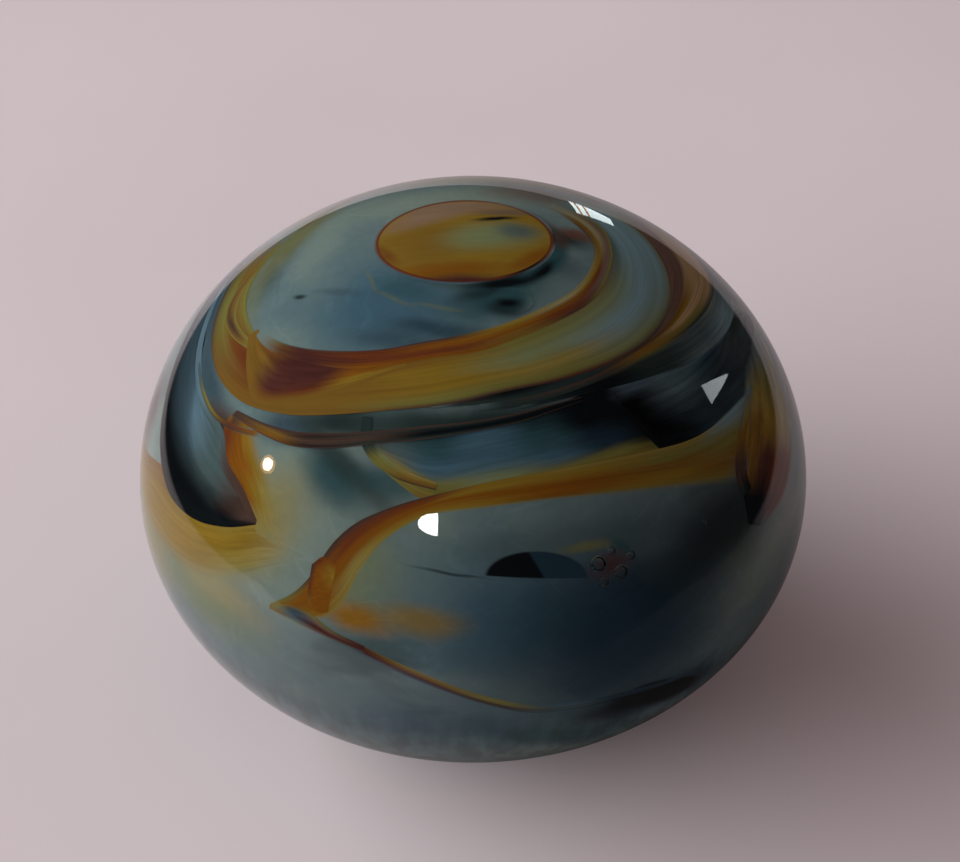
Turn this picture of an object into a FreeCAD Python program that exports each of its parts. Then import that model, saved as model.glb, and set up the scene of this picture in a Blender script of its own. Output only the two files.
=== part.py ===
"""A solid art-glass paperweight: a core, a marbled layer of coloured glass and a clear casing.

The frame: +Z up, the origin at the centre of the ground foot, millimetres. Every form is an
ellipsoid of revolution about Z with its equator at one height, and a flatter half below it.
The colours are let into one thin shell. Their outlines are given as longitude and latitude in
degrees about the equator's centre: longitude 0 faces -Y, 90 faces +X, and latitude 90 is the top.
"""
import FreeCAD, Part
import math
import os

SIZES = {
    "equator_radius": 40.0,
    "equator_height": 24.0,
    "dome_rise": 33.4,
    "belly_drop": 28.2,
    "foot_round": 0.8,
    "colour_radius": 37.4,
    "colour_rise": 30.4,
    "colour_drop": 25.8,
    "core_radius": 36.2,
    "core_rise": 29.2,
    "core_drop": 24.6,
    "window_floor_radius": 32.5,
    "window_floor_rise": 25.5,
    "window_floor_drop": 24.4,
    "hollow_ball_radius": 32.0,
    "hollow_depth": 0.7,
    "eye_across": -0.9,
    "eye_back": 3.3,
    "eye_half_width": 9.4,
    "eye_half_depth": 8.0,
    "rim_width": 0.6,
    "prism_length": 60.0,
    "cutter_near": 14.0,
    "cutter_far": 120.0,
}

# Ellipses cut straight down through the top of the layer: centre x, centre y, and the half axes.
TOP_SPOTS = {
    "eye_shadow": (0.6, 2.2, 10.6, 9.2),
    "teal_drop": (4.0, -7.4, 2.6, 2.0),
}

# Each strip of colour: its two long edges, point for point from the same end, as (longitude, latitude).
# An earlier strip is laid over a later one, so a later one runs on under its neighbours.
STRIPS = {
    "inner_ribbon": (
        [(150, 63), (127, 64), (108, 64), (88, 66), (66, 68), (43, 69.5), (18, 69), (-5, 67),
         (-20, 64.5), (-38, 59), (-55, 53), (-67, 48.5), (-78, 45)],
        [(150, 61), (124, 58), (108, 59.5), (88, 62), (66, 63.5), (44, 65), (24, 65), (4, 63),
         (-14, 61), (-28, 57.5), (-42, 53), (-58, 48.5), (-70, 45), (-77, 44)],
    ),
    "plum_patch": (
        [(-79, 44.6), (-70, 46.5), (-55, 51), (-40, 56), (-26, 59.5)],
        [(-79, 42.5), (-68, 39.5), (-59, 37.8), (-50, 42), (-38, 50), (-24, 57.5)],
    ),
    "hook_thread": (
        [(-118, 44), (-106, 42.5), (-98, 40.5), (-90, 40), (-82, 41.5), (-74, 43.5)],
        [(-118, 43), (-108, 41), (-99, 38), (-91, 37.4), (-83, 39), (-74, 41.8)],
    ),
    "olive_band": (
        [(-128, 41), (-112, 43), (-96, 42), (-78, 44), (-60, 49), (-40, 56), (-18, 62.5), (5, 65),
         (30, 67), (55, 66), (80, 64), (105, 62), (128, 61), (148, 60.5)],
        [(-128, 36), (-115, 34.5), (-100, 34.5), (-86, 34), (-74, 34.3), (-62, 36), (-49, 40),
         (-37, 44.5), (-24, 48.5), (-8, 51.5), (10, 54), (28, 53.8), (48, 52.3), (66, 50.3),
         (84, 49), (104, 48.5), (124, 48.5), (148, 52)],
    ),
    "umber_ribbon": (
        [(-12, 51.8), (8, 55), (28, 55), (48, 53.5), (66, 51.5), (84, 50.5), (104, 50),
         (124, 50), (140, 47)],
        [(-12, 50.6), (6, 52), (22, 52.4), (40, 52), (58, 50.7), (78, 47.3), (96, 43.5),
         (112, 40), (140, 39)],
    ),
    "ochre_thread": (
        [(2, 52.8), (22, 53.4), (40, 53), (58, 52), (78, 49), (96, 45.5), (112, 42), (140, 41)],
        [(2, 50.6), (14, 50.8), (28, 51), (42, 50.7), (58, 49.5), (77, 45), (96, 39),
         (112, 34.3), (140, 33.5)],
    ),
    "smoke_wisp": (
        [(14, 51.8), (28, 51.9), (44, 51.6), (60, 50.5), (78, 46.5), (96, 41), (112, 36)],
        [(14, 50.3), (28, 50.1), (39, 48.9), (54, 46), (70, 41.5), (88, 36), (106, 31)],
    ),
    "brown_thread": (
        [(-62, 34.2), (-52, 36.5), (-44, 38.5), (-33, 42), (-21.5, 45.2), (-12, 47.2), (0, 48.6),
         (13, 49.5), (24, 49.8), (32, 49.4)],
        [(-62, 33), (-50, 34.8), (-43, 36), (-34, 38.7), (-25, 41.8), (-13, 44.5), (-1, 46.5),
         (13, 47.8), (24, 48.6), (32, 48.6)],
    ),
    "orange_drop": (
        [(-29.5, 19.5), (-27.5, 21.4), (-24.8, 20.5)],
        [(-29, 13), (-27, 11.9), (-25, 12.5)],
    ),
    "nose_tip": (
        [(-35.6, 9.9), (-32, 11.4), (-28.5, 11.4), (-24, 9.6), (-18, 8.2)],
        [(-35.6, 9), (-31, 8.5), (-25, 8), (-18, 6.9)],
    ),
    "lower_thread": (
        [(-20, 8.9), (-9, 5.3), (1, 1.2), (9, -1.6), (18, -3), (28, -4), (38, -6)],
        [(-20, 7), (-9, 3.2), (1, -0.8), (9, -3.8), (18, -4.8), (28, -5.4), (38, -6.8)],
    ),
    "fold_thread": (
        [(76, 29.5), (66, 27.5), (58.5, 23.5), (56.5, 19)],
        [(79, 28.5), (69, 26), (61.5, 22), (60, 18.5)],
    ),
    "amber_band": (
        [(-36, 9.9), (-32, 13.5), (-29, 18), (-26.5, 24), (-23, 28.3), (-17, 32), (-9, 35),
         (5, 37.8), (20, 38.2), (38, 36.2), (54, 32.6), (77, 28.6)],
        [(-36, 8.9), (-30, 9.6), (-25, 11.2), (-22, 15), (-20.5, 20), (-17, 26), (-10, 31),
         (2, 33), (16, 33.2), (30, 31.2), (44, 27.2), (59, 20)],
    ),
    "pocket_thread": (
        [(-27.5, 46.5), (-25, 42.7), (-20.5, 40.3), (-14, 38.5), (-8, 37.3)],
        [(-30, 46), (-28, 42), (-23.5, 39), (-16.5, 37), (-8, 36)],
    ),
    "left_thread": (
        [(-84, 31), (-74, 30.8), (-66, 31), (-58, 33), (-51, 35.6)],
        [(-84, 30), (-74, 29.6), (-66, 29.8), (-58, 31.6), (-51, 33.8)],
    ),
    "right_fold": (
        [(82, 30.5), (67, 27), (60, 23), (57.5, 19), (56, 14)],
        [(104, 25), (94, 20), (84, 15), (72, 11), (60, 11)],
    ),
    "foot_streak": (
        [(21, -6), (28, -3.6), (36, -5.5), (43, -10)],
        [(21, -7.5), (28, -10.5), (36, -13), (43, -11.5)],
    ),
    "back_umber_thread": (
        [(138, 47.5), (160, 46.8), (185, 46), (210, 46), (240, 45)],
        [(138, 46), (160, 44.5), (185, 43.5), (210, 43.5), (240, 44.2)],
    ),
    "back_ochre_band": (
        [(136, 41.5), (155, 41), (178, 40), (200, 40), (222, 41), (236, 42)],
        [(136, 32.5), (155, 31), (178, 30.5), (200, 31.5), (222, 34), (236, 35.5)],
    ),
}

# The windows are deep pieces: they run through the layer and into the core.
WINDOWS = {
    "left_window": (
        [(-124, 33.5), (-112, 33), (-98, 32.5), (-86, 31.4), (-74, 30.4), (-66, 30.4),
         (-60.5, 29.7), (-56, 27), (-49, 25.2), (-43, 22)],
        [(-124, 31.5), (-112, 28), (-98, 24.5), (-86, 20), (-76, 15.5), (-67, 13.2), (-58, 14.3),
         (-49, 17.8), (-43, 21.2)],
    ),
    "right_window": (
        [(37, 49.6), (54, 47.5), (70, 43.5), (88, 38), (104, 32)],
        [(44, 34.5), (56, 31), (66, 28.5), (76, 26.8), (88, 25.5), (104, 26)],
    ),
    "back_window": (
        [(128, 24), (145, 28), (168, 28), (190, 25.5), (204, 21)],
        [(128, 21), (145, 15), (168, 13), (190, 15.5), (204, 19.5)],
    ),
}

# Laid after the windows, so the windows' edges show against them.
UNDERLAYS = {
    "blue_pocket": (
        [(-28, 44), (-13, 46), (0, 47.8), (13, 49), (25, 49.6), (40, 49.6)],
        [(-26.5, 40.5), (-18, 37), (-8, 33.8), (5, 36), (20, 36.5), (46, 34)],
    ),
    "left_hook": (
        [(-63, 33.4), (-61.5, 30), (-57, 26.5), (-51, 25), (-46, 23), (-42, 20)],
        [(-55, 35), (-50, 33), (-44, 30), (-41, 27), (-38, 23.5), (-36, 20)],
    ),
    "yellow_crescent": (
        [(-96, 9), (-84, 10), (-72, 15), (-60, 17), (-50, 20), (-42, 23.5), (-34, 22)],
        [(-96, 4), (-84, 2.5), (-72, 1.8), (-60, 3), (-50, 6), (-42, 10.5), (-32, 18.5)],
    ),
    "back_amber_wave": (
        [(80, 16), (104, 17), (126, 14), (150, 9), (175, 7), (200, 9), (225, 12), (250, 12),
         (268, 9)],
        [(80, 12), (104, 10.5), (126, 6), (150, 1), (175, -2), (200, -1), (225, 2), (250, 4),
         (268, 4.5)],
    ),
    "back_thread": (
        [(150, -6), (175, -8), (200, -7.5), (230, -4)],
        [(150, -7.2), (175, -9.4), (200, -8.9), (230, -5.2)],
    ),
}

# Trapped bubbles in the casing: longitude, latitude, distance from the centre, radius.
BUBBLES = [
    (22.2, 22.0, 37.5, 0.95),
    (26.0, 19.6, 37.6, 0.85),
    (22.6, 18.9, 37.7, 0.6),
    (28.6, 21.6, 37.3, 0.55),
    (25.2, 23.4, 37.2, 0.5),
    (45.2, 20.8, 37.3, 0.4),
]


def make_sheet(doc):
    """The driving dimensions, one named cell each."""
    sheet = doc.addObject("Spreadsheet::Sheet", "sizes")
    for row, (name, value) in enumerate(SIZES.items(), start=1):
        sheet.set(f"A{row}", name)
        sheet.set(f"B{row}", str(value))
        sheet.setAlias(f"B{row}", name)
    doc.recompute()
    return sheet


def origin_plane(body, role):
    """One of a body's own origin planes."""
    for feature in body.Origin.OriginFeatures:
        if feature.Role == role:
            return feature
    raise RuntimeError(f"no {role} in {body.Name}")


def half_ellipsoid(body, name, radius, depth, low_angle, high_angle):
    """Half of a dome: an ellipsoid about the equator's centre, between two angles above its equator."""
    half = body.newObject("PartDesign::AdditiveEllipsoid", name)
    half.AttachmentSupport = [(origin_plane(body, "XY_Plane"), "")]
    half.MapMode = "FlatFace"
    half.setExpression("AttachmentOffset.Base.z", "sizes.equator_height")
    half.setExpression("Radius1", f"sizes.{depth}")
    half.setExpression("Radius2", f"sizes.{radius}")
    half.setExpression("Radius3", f"sizes.{radius}")
    half.setExpression("Angle1", low_angle)
    half.setExpression("Angle2", high_angle)


def grind_flat(body):
    """Cuts away all that lies below the foot, as the wheel does."""
    wheel = body.newObject("PartDesign::SubtractiveBox", body.Name + "_ground_off")
    wheel.AttachmentSupport = [(origin_plane(body, "XY_Plane"), "")]
    wheel.MapMode = "FlatFace"
    for side, offset in (("Length", "x"), ("Width", "y")):
        wheel.setExpression(side, "2 * sizes.equator_radius")
        wheel.setExpression(f"AttachmentOffset.Base.{offset}", "-sizes.equator_radius")
    wheel.setExpression("Height", "sizes.equator_radius")
    wheel.setExpression("AttachmentOffset.Base.z", "-sizes.equator_radius")


def dome(doc, name, radius, rise, drop):
    """A solid of revolution: a high half ellipsoid over a lower one, ground flat at the foot."""
    body = doc.addObject("PartDesign::Body", name)
    half_ellipsoid(body, name + "_above", radius, rise, "0 deg", "90 deg")
    half_ellipsoid(body, name + "_below", radius, drop, "-90 deg", "0 deg")
    grind_flat(body)
    doc.recompute()
    return body


def round_foot(doc, body):
    """Rounds the sharp edge where the ground foot meets the belly."""
    form = body.Tip
    names = []
    for number, edge in enumerate(form.Shape.Edges, start=1):
        if abs(edge.BoundBox.ZMax) < 1e-6 and edge.BoundBox.XMax > 1:
            names.append(f"Edge{number}")
    fillet = body.newObject("PartDesign::Fillet", body.Name + "_foot_round")
    fillet.Base = (form, names)
    fillet.setExpression("Radius", "sizes.foot_round")
    doc.recompute()


def boolean(doc, kind, name, base, tool):
    """One Part boolean of two objects, named."""
    feature = doc.addObject(kind, name)
    feature.Base = base
    feature.Tool = tool
    feature.Label = name
    return feature


def top_prism(doc, name, middle_x, middle_y, half_width, half_depth):
    """An upright elliptical prism over the top of the layer. The sizes are numbers or expressions."""
    outline = doc.addObject("Part::Ellipse", name + "_outline")
    outline.setExpression("MajorRadius", str(half_width))
    outline.setExpression("MinorRadius", str(half_depth))
    outline.setExpression("Placement.Base.x", str(middle_x))
    outline.setExpression("Placement.Base.y", str(middle_y))
    outline.setExpression("Placement.Base.z", "sizes.equator_height")
    prism = doc.addObject("Part::Extrusion", name + "_cutter")
    prism.Base = outline
    prism.DirMode = "Custom"
    prism.Dir = FreeCAD.Vector(0, 0, 1)
    prism.setExpression("LengthFwd", "sizes.prism_length")
    prism.Solid = True
    return prism


def toward(longitude, latitude, distance):
    """The point at a distance from the equator's centre, in a direction."""
    east = math.radians(longitude)
    up = math.radians(latitude)
    flat = distance * math.cos(up)
    height = SIZES["equator_height"] + distance * math.sin(up)
    return FreeCAD.Vector(flat * math.sin(east), -flat * math.cos(east), height)


def long_edge(points, distance):
    """A smooth curve through a strip's edge points, all at one distance from the centre."""
    curve = Part.BSplineCurve()
    curve.interpolate([toward(lon, lat, distance) for lon, lat in points])
    return curve.toShape()


def strip_cutter(doc, name, edges):
    """A closed wedge whose sides run straight out from the equator's centre through a strip's outline."""
    near, far = SIZES["cutter_near"], SIZES["cutter_far"]
    inner = [long_edge(points, near) for points in edges]
    outer = [long_edge(points, far) for points in edges]
    faces = [Part.makeRuledSurface(inner[side], outer[side]) for side in (0, 1)]
    faces += [Part.makeRuledSurface(inner[0], inner[1]), Part.makeRuledSurface(outer[0], outer[1])]
    for end in (0, -1):
        corners = [toward(*points[end], distance) for points in edges for distance in (near, far)]
        corners = [corners[0], corners[1], corners[3], corners[2], corners[0]]
        faces.append(Part.Face(Part.makePolygon(corners)))
    shell = Part.makeShell(faces)
    shell.sewShape()
    solid = Part.Solid(shell)
    if solid.Volume < 0:
        solid.reverse()
    cutter = doc.addObject("Part::Feature", name + "_cutter")
    cutter.Shape = solid
    return cutter


def bubble(doc, number, longitude, latitude, distance, radius):
    """One round bubble in the casing."""
    ball = doc.addObject("Part::Sphere", f"bubble_{number}")
    ball.Radius = radius
    ball.Placement.Base = toward(longitude, latitude, distance)
    return ball


def clear_casing(doc, outer, colour):
    """The clear outer gather: the outer form, less the colour layer's form and the trapped bubbles."""
    balls = doc.addObject("Part::Compound", "bubbles")
    balls.Links = [bubble(doc, number, *place) for number, place in enumerate(BUBBLES, start=1)]
    hollow = boolean(doc, "Part::Cut", "casing_wall", outer, colour)
    return boolean(doc, "Part::Cut", "clear_casing", hollow, balls)


def inlay(doc, rest, name, cutter):
    """Lets one colour into the rest of the layer: the piece, and what is left of the layer."""
    piece = boolean(doc, "Part::Common", name, rest, cutter)
    left = boolean(doc, "Part::Cut", "rest_after_" + name, rest, cutter)
    return piece, left


def pontil_hollow(doc):
    """The ball whose lowest cap is the shallow hollow ground into the middle of the foot."""
    ball = doc.addObject("Part::Sphere", "pontil_ball")
    ball.setExpression("Radius", "sizes.hollow_ball_radius")
    ball.setExpression("Placement.Base.z", "sizes.hollow_depth - sizes.hollow_ball_radius")
    return ball


def marbled_layer(doc, colour, core):
    """Every laid and trailed colour, the deep windows, the opal ground between them, and the core."""
    pieces = []
    rest = boolean(doc, "Part::Cut", "colour_layer", colour, core)
    eye = ("sizes.eye_across", "sizes.eye_back", "sizes.eye_half_width", "sizes.eye_half_depth")
    rim = eye[:2] + (eye[2] + " + sizes.rim_width", eye[3] + " + sizes.rim_width")
    spots = {"eye_lens": eye, "eye_rim": rim, **TOP_SPOTS}
    for name, shape in spots.items():
        piece, rest = inlay(doc, rest, name, top_prism(doc, name, *shape))
        pieces.append(piece)
    for name, edges in STRIPS.items():
        piece, rest = inlay(doc, rest, name, strip_cutter(doc, name, edges))
        pieces.append(piece)
    floor = dome(doc, "window_floor", "window_floor_radius", "window_floor_rise", "window_floor_drop")
    below_layer = boolean(doc, "Part::Cut", "window_depth", core, floor)
    gather = core
    for name, edges in WINDOWS.items():
        cutter = strip_cutter(doc, name, edges)
        skin, rest = inlay(doc, rest, name + "_skin", cutter)
        depth = boolean(doc, "Part::Common", name + "_depth", below_layer, cutter)
        window = doc.addObject("Part::MultiFuse", name)
        window.Shapes = [skin, depth]
        window.Refine = True
        window.Label = name
        pieces.append(window)
        gather = boolean(doc, "Part::Cut", "core_after_" + name, gather, depth)
    for name, edges in UNDERLAYS.items():
        piece, rest = inlay(doc, rest, name, strip_cutter(doc, name, edges))
        pieces.append(piece)
    rest.Label = "opal_ground"
    pieces.append(rest)
    pieces.append(boolean(doc, "Part::Cut", "core_gather", gather, pontil_hollow(doc)))
    return pieces


def check(doc, pieces):
    """Stops if any object failed or any piece is not a sound solid."""
    for thing in doc.Objects:
        if "Invalid" in thing.State or "Error" in thing.State:
            raise RuntimeError(f"{thing.Label} failed: {thing.State}")
    for piece in pieces:
        shape = piece.Shape
        if shape.isNull() or not shape.isValid() or not shape.Solids:
            raise RuntimeError(f"{piece.Label} is not a sound solid")


def main():
    doc = FreeCAD.newDocument("paperweight")
    make_sheet(doc)
    outer = dome(doc, "outer_form", "equator_radius", "dome_rise", "belly_drop")
    round_foot(doc, outer)
    colour = dome(doc, "colour_form", "colour_radius", "colour_rise", "colour_drop")
    core = dome(doc, "core_form", "core_radius", "core_rise", "core_drop")
    pieces = [clear_casing(doc, outer, colour)] + marbled_layer(doc, colour, core)
    doc.recompute()
    check(doc, pieces)
    os.makedirs("parts", exist_ok=True)
    for piece in pieces:
        piece.Shape.exportStep(f"parts/{piece.Label}.step")
        print(f"{piece.Label}: {len(piece.Shape.Solids)} solid(s), {piece.Shape.Volume:.1f} mm3")


main()
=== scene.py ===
"""The looks of a hand-worked art-glass paperweight: a marbled layer under a clear casing.

Every form is an ellipsoid of revolution about Z with its equator at one height, and a flatter half
below it. The colours lie on one thin layer, and their outlines are longitude and latitude in degrees
about the equator's centre: longitude 0 faces -Y, 90 faces +X, and latitude 90 is the top. They are
the outlines that the CAD part cuts its pieces with. Lengths are metres.
"""
import math

import bmesh
import bpy
import numpy as np
from mathutils import Matrix, Vector


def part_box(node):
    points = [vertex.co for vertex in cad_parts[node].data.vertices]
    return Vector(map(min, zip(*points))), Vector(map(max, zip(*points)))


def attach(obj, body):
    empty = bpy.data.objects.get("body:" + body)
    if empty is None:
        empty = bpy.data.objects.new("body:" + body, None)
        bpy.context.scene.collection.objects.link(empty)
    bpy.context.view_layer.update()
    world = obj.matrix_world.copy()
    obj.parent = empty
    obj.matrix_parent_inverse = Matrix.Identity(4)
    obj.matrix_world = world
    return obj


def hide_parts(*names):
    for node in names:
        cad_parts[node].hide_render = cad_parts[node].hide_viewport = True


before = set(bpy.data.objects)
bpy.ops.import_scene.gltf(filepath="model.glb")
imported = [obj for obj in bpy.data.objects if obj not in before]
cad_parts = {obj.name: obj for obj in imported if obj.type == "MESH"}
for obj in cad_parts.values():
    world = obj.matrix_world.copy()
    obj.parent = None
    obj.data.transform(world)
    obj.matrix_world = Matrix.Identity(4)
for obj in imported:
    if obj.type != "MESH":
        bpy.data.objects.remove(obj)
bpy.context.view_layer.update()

MM = 0.001
EQUATOR_HEIGHT = 24 * MM
# The equator's centre, from which every form is measured.
MIDDLE = np.array([0, 0, EQUATOR_HEIGHT])
BELLY_DROP = 28.2 * MM
# How far under the casing's surface the colours lie: at the equator, at the top and underneath.
CASING_WALL = (2.6 * MM, 3.0 * MM, 2.4 * MM)
# The layer's thickness, and a little more, so that its inside clears the core.
LAYER_WALL = 1.2 * MM
CORE_GAP = 0.1 * MM
casing_low, casing_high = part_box("clear_casing")
OUTER_FORM = (casing_high.x, casing_high.z - EQUATOR_HEIGHT, BELLY_DROP)
COLOUR_FORM = tuple(outer - wall for outer, wall in zip(OUTER_FORM, CASING_WALL))
INNER_FORM = tuple(axis - LAYER_WALL for axis in COLOUR_FORM)
CORE_FORM = tuple(axis - CORE_GAP for axis in INNER_FORM)
# The small round at the foot's edge, the layer's gap above the foot, and the ball of its hollow.
FOOT_ROUND = 0.8 * MM
FOOT_GAP = 0.05 * MM
HOLLOW_BALL = 32.0 * MM
HOLLOW_DEPTH = 0.7 * MM
# A low face of the casing is part of the ground foot if its normal's Z is under this.
FOOT_FACING = -0.93
# How much higher each strip of colour lies than the one under it.
LAYER_STEP = 0.004 * MM
STRIP_THICKNESS = 0.5 * MM
# The windows' depth, what lies clear behind them, and how far in from their outline each slope runs.
WINDOW_DEPTH = 4.2 * MM
WINDOW_CLEARANCE = 1.2 * MM
WINDOW_SLOPE = (0.9 * MM, 3.4 * MM)
CLEARANCE_SLOPE = (0.2 * MM, 1.5 * MM)
EYE_CENTRE = (-0.9 * MM, 3.3 * MM)
EYE_HALVES = (9.4 * MM, 8.0 * MM)
RIM_WIDTH = 0.6 * MM
# How much deeper than its mean half size a patch of colour reaches, in mm.
PATCH_DEPTH = 4
# The refractive index of glass.
GLASS_INDEX = 1.5
# Keeps a divisor off zero.
TINY = 1e-12

# ---- colours, linear red, green, blue
BLACK = (0.003, 0.005, 0.006)
NAVY = (0.012, 0.030, 0.044)
BLUE = (0.045, 0.098, 0.130)
TEAL = (0.105, 0.155, 0.155)
PALE_TEAL = (0.17, 0.22, 0.18)
AQUA = (0.15, 0.25, 0.27)
DARK_TEAL = (0.017, 0.030, 0.027)
DEEP_TEAL = (0.022, 0.060, 0.066)
GREY_TEAL = (0.055, 0.085, 0.085)
OLIVE = (0.145, 0.135, 0.032)
OLIVE_TEAL = (0.15, 0.175, 0.08)
PALE_GOLD = (0.24, 0.21, 0.10)
YELLOW = (0.21, 0.165, 0.04)
GOLD = (0.20, 0.125, 0.014)
OCHRE = (0.15, 0.082, 0.014)
ORANGE = (0.17, 0.062, 0.006)
RED_BROWN = (0.115, 0.030, 0.010)
PLUM = (0.058, 0.018, 0.014)
UMBER = (0.055, 0.033, 0.024)
MAUVE = (0.125, 0.085, 0.065)
TAUPE = (0.125, 0.072, 0.055)
TAN = (0.36, 0.25, 0.12)
SLATE = (0.038, 0.064, 0.078)
AMBER = (0.22, 0.105, 0.008)
# A dusky mauve, used only as painted reflection: the haze along the eye's top.
PAINTED_HAZE = (0.20, 0.13, 0.08)
DEEP_BLUE = (0.08, 0.135, 0.165)

# ---- outlines, as the CAD part has them
# Ellipses cut straight down through the top of the layer: centre x, centre y, and the half axes.
TOP_SPOTS = {
    "eye_shadow": (0.6, 2.2, 10.6, 9.2),
    "teal_drop": (4.0, -7.4, 2.6, 2.0),
}

# Each strip of colour: its two long edges, point for point from the same end, as (longitude, latitude).
# An earlier strip is laid over a later one, so a later one runs on under its neighbours.
STRIPS = {
    "inner_ribbon": (
        [(150, 63), (127, 64), (108, 64), (88, 66), (66, 68), (43, 69.5), (18, 69), (-5, 67),
         (-20, 64.5), (-38, 59), (-55, 53), (-67, 48.5), (-78, 45)],
        [(150, 61), (124, 58), (108, 59.5), (88, 62), (66, 63.5), (44, 65), (24, 65), (4, 63),
         (-14, 61), (-28, 57.5), (-42, 53), (-58, 48.5), (-70, 45), (-77, 44)],
    ),
    "plum_patch": (
        [(-79, 44.6), (-70, 46.5), (-55, 51), (-40, 56), (-26, 59.5)],
        [(-79, 42.5), (-68, 39.5), (-59, 37.8), (-50, 42), (-38, 50), (-24, 57.5)],
    ),
    "hook_thread": (
        [(-118, 44), (-106, 42.5), (-98, 40.5), (-90, 40), (-82, 41.5), (-74, 43.5)],
        [(-118, 43), (-108, 41), (-99, 38), (-91, 37.4), (-83, 39), (-74, 41.8)],
    ),
    "olive_band": (
        [(-128, 41), (-112, 43), (-96, 42), (-78, 44), (-60, 49), (-40, 56), (-18, 62.5), (5, 65),
         (30, 67), (55, 66), (80, 64), (105, 62), (128, 61), (148, 60.5)],
        [(-128, 36), (-115, 34.5), (-100, 34.5), (-86, 34), (-74, 34.3), (-62, 36), (-49, 40),
         (-37, 44.5), (-24, 48.5), (-8, 51.5), (10, 54), (28, 53.8), (48, 52.3), (66, 50.3),
         (84, 49), (104, 48.5), (124, 48.5), (148, 52)],
    ),
    "umber_ribbon": (
        [(-12, 51.8), (8, 55), (28, 55), (48, 53.5), (66, 51.5), (84, 50.5), (104, 50),
         (124, 50), (140, 47)],
        [(-12, 50.6), (6, 52), (22, 52.4), (40, 52), (58, 50.7), (78, 47.3), (96, 43.5),
         (112, 40), (140, 39)],
    ),
    "ochre_thread": (
        [(2, 52.8), (22, 53.4), (40, 53), (58, 52), (78, 49), (96, 45.5), (112, 42), (140, 41)],
        [(2, 50.6), (14, 50.8), (28, 51), (42, 50.7), (58, 49.5), (77, 45), (96, 39),
         (112, 34.3), (140, 33.5)],
    ),
    "smoke_wisp": (
        [(14, 51.8), (28, 51.9), (44, 51.6), (60, 50.5), (78, 46.5), (96, 41), (112, 36)],
        [(14, 50.3), (28, 50.1), (39, 48.9), (54, 46), (70, 41.5), (88, 36), (106, 31)],
    ),
    "brown_thread": (
        [(-62, 34.2), (-52, 36.5), (-44, 38.5), (-33, 42), (-21.5, 45.2), (-12, 47.2), (0, 48.6),
         (13, 49.5), (24, 49.8), (32, 49.4)],
        [(-62, 33), (-50, 34.8), (-43, 36), (-34, 38.7), (-25, 41.8), (-13, 44.5), (-1, 46.5),
         (13, 47.8), (24, 48.6), (32, 48.6)],
    ),
    "orange_drop": (
        [(-29.5, 19.5), (-27.5, 21.4), (-24.8, 20.5)],
        [(-29, 13), (-27, 11.9), (-25, 12.5)],
    ),
    "nose_tip": (
        [(-35.6, 9.9), (-32, 11.4), (-28.5, 11.4), (-24, 9.6), (-18, 8.2)],
        [(-35.6, 9), (-31, 8.5), (-25, 8), (-18, 6.9)],
    ),
    "lower_thread": (
        [(-20, 8.9), (-9, 5.3), (1, 1.2), (9, -1.6), (18, -3), (28, -4), (38, -6)],
        [(-20, 7), (-9, 3.2), (1, -0.8), (9, -3.8), (18, -4.8), (28, -5.4), (38, -6.8)],
    ),
    "fold_thread": (
        [(76, 29.5), (66, 27.5), (58.5, 23.5), (56.5, 19)],
        [(79, 28.5), (69, 26), (61.5, 22), (60, 18.5)],
    ),
    "amber_band": (
        [(-36, 9.9), (-32, 13.5), (-29, 18), (-26.5, 24), (-23, 28.3), (-17, 32), (-9, 35),
         (5, 37.8), (20, 38.2), (38, 36.2), (54, 32.6), (77, 28.6)],
        [(-36, 8.9), (-30, 9.6), (-25, 11.2), (-22, 15), (-20.5, 20), (-17, 26), (-10, 31),
         (2, 33), (16, 33.2), (30, 31.2), (44, 27.2), (59, 20)],
    ),
    "pocket_thread": (
        [(-27.5, 46.5), (-25, 42.7), (-20.5, 40.3), (-14, 38.5), (-8, 37.3)],
        [(-30, 46), (-28, 42), (-23.5, 39), (-16.5, 37), (-8, 36)],
    ),
    "left_thread": (
        [(-84, 31), (-74, 30.8), (-66, 31), (-58, 33), (-51, 35.6)],
        [(-84, 30), (-74, 29.6), (-66, 29.8), (-58, 31.6), (-51, 33.8)],
    ),
    "right_fold": (
        [(82, 30.5), (67, 27), (60, 23), (57.5, 19), (56, 14)],
        [(104, 25), (94, 20), (84, 15), (72, 11), (60, 11)],
    ),
    "foot_streak": (
        [(21, -6), (28, -3.6), (36, -5.5), (43, -10)],
        [(21, -7.5), (28, -10.5), (36, -13), (43, -11.5)],
    ),
    "back_umber_thread": (
        [(138, 47.5), (160, 46.8), (185, 46), (210, 46), (240, 45)],
        [(138, 46), (160, 44.5), (185, 43.5), (210, 43.5), (240, 44.2)],
    ),
    "back_ochre_band": (
        [(136, 41.5), (155, 41), (178, 40), (200, 40), (222, 41), (236, 42)],
        [(136, 32.5), (155, 31), (178, 30.5), (200, 31.5), (222, 34), (236, 35.5)],
    ),
}

# The windows are deep pieces: they run through the layer and into the core.
WINDOWS = {
    "left_window": (
        [(-124, 33.5), (-112, 33), (-98, 32.5), (-86, 31.4), (-74, 30.4), (-66, 30.4),
         (-60.5, 29.7), (-56, 27), (-49, 25.2), (-43, 22)],
        [(-124, 31.5), (-112, 28), (-98, 24.5), (-86, 20), (-76, 15.5), (-67, 13.2), (-58, 14.3),
         (-49, 17.8), (-43, 21.2)],
    ),
    "right_window": (
        [(37, 49.6), (54, 47.5), (70, 43.5), (88, 38), (104, 32)],
        [(44, 34.5), (56, 31), (66, 28.5), (76, 26.8), (88, 25.5), (104, 26)],
    ),
    "back_window": (
        [(128, 24), (145, 28), (168, 28), (190, 25.5), (204, 21)],
        [(128, 21), (145, 15), (168, 13), (190, 15.5), (204, 19.5)],
    ),
}

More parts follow.
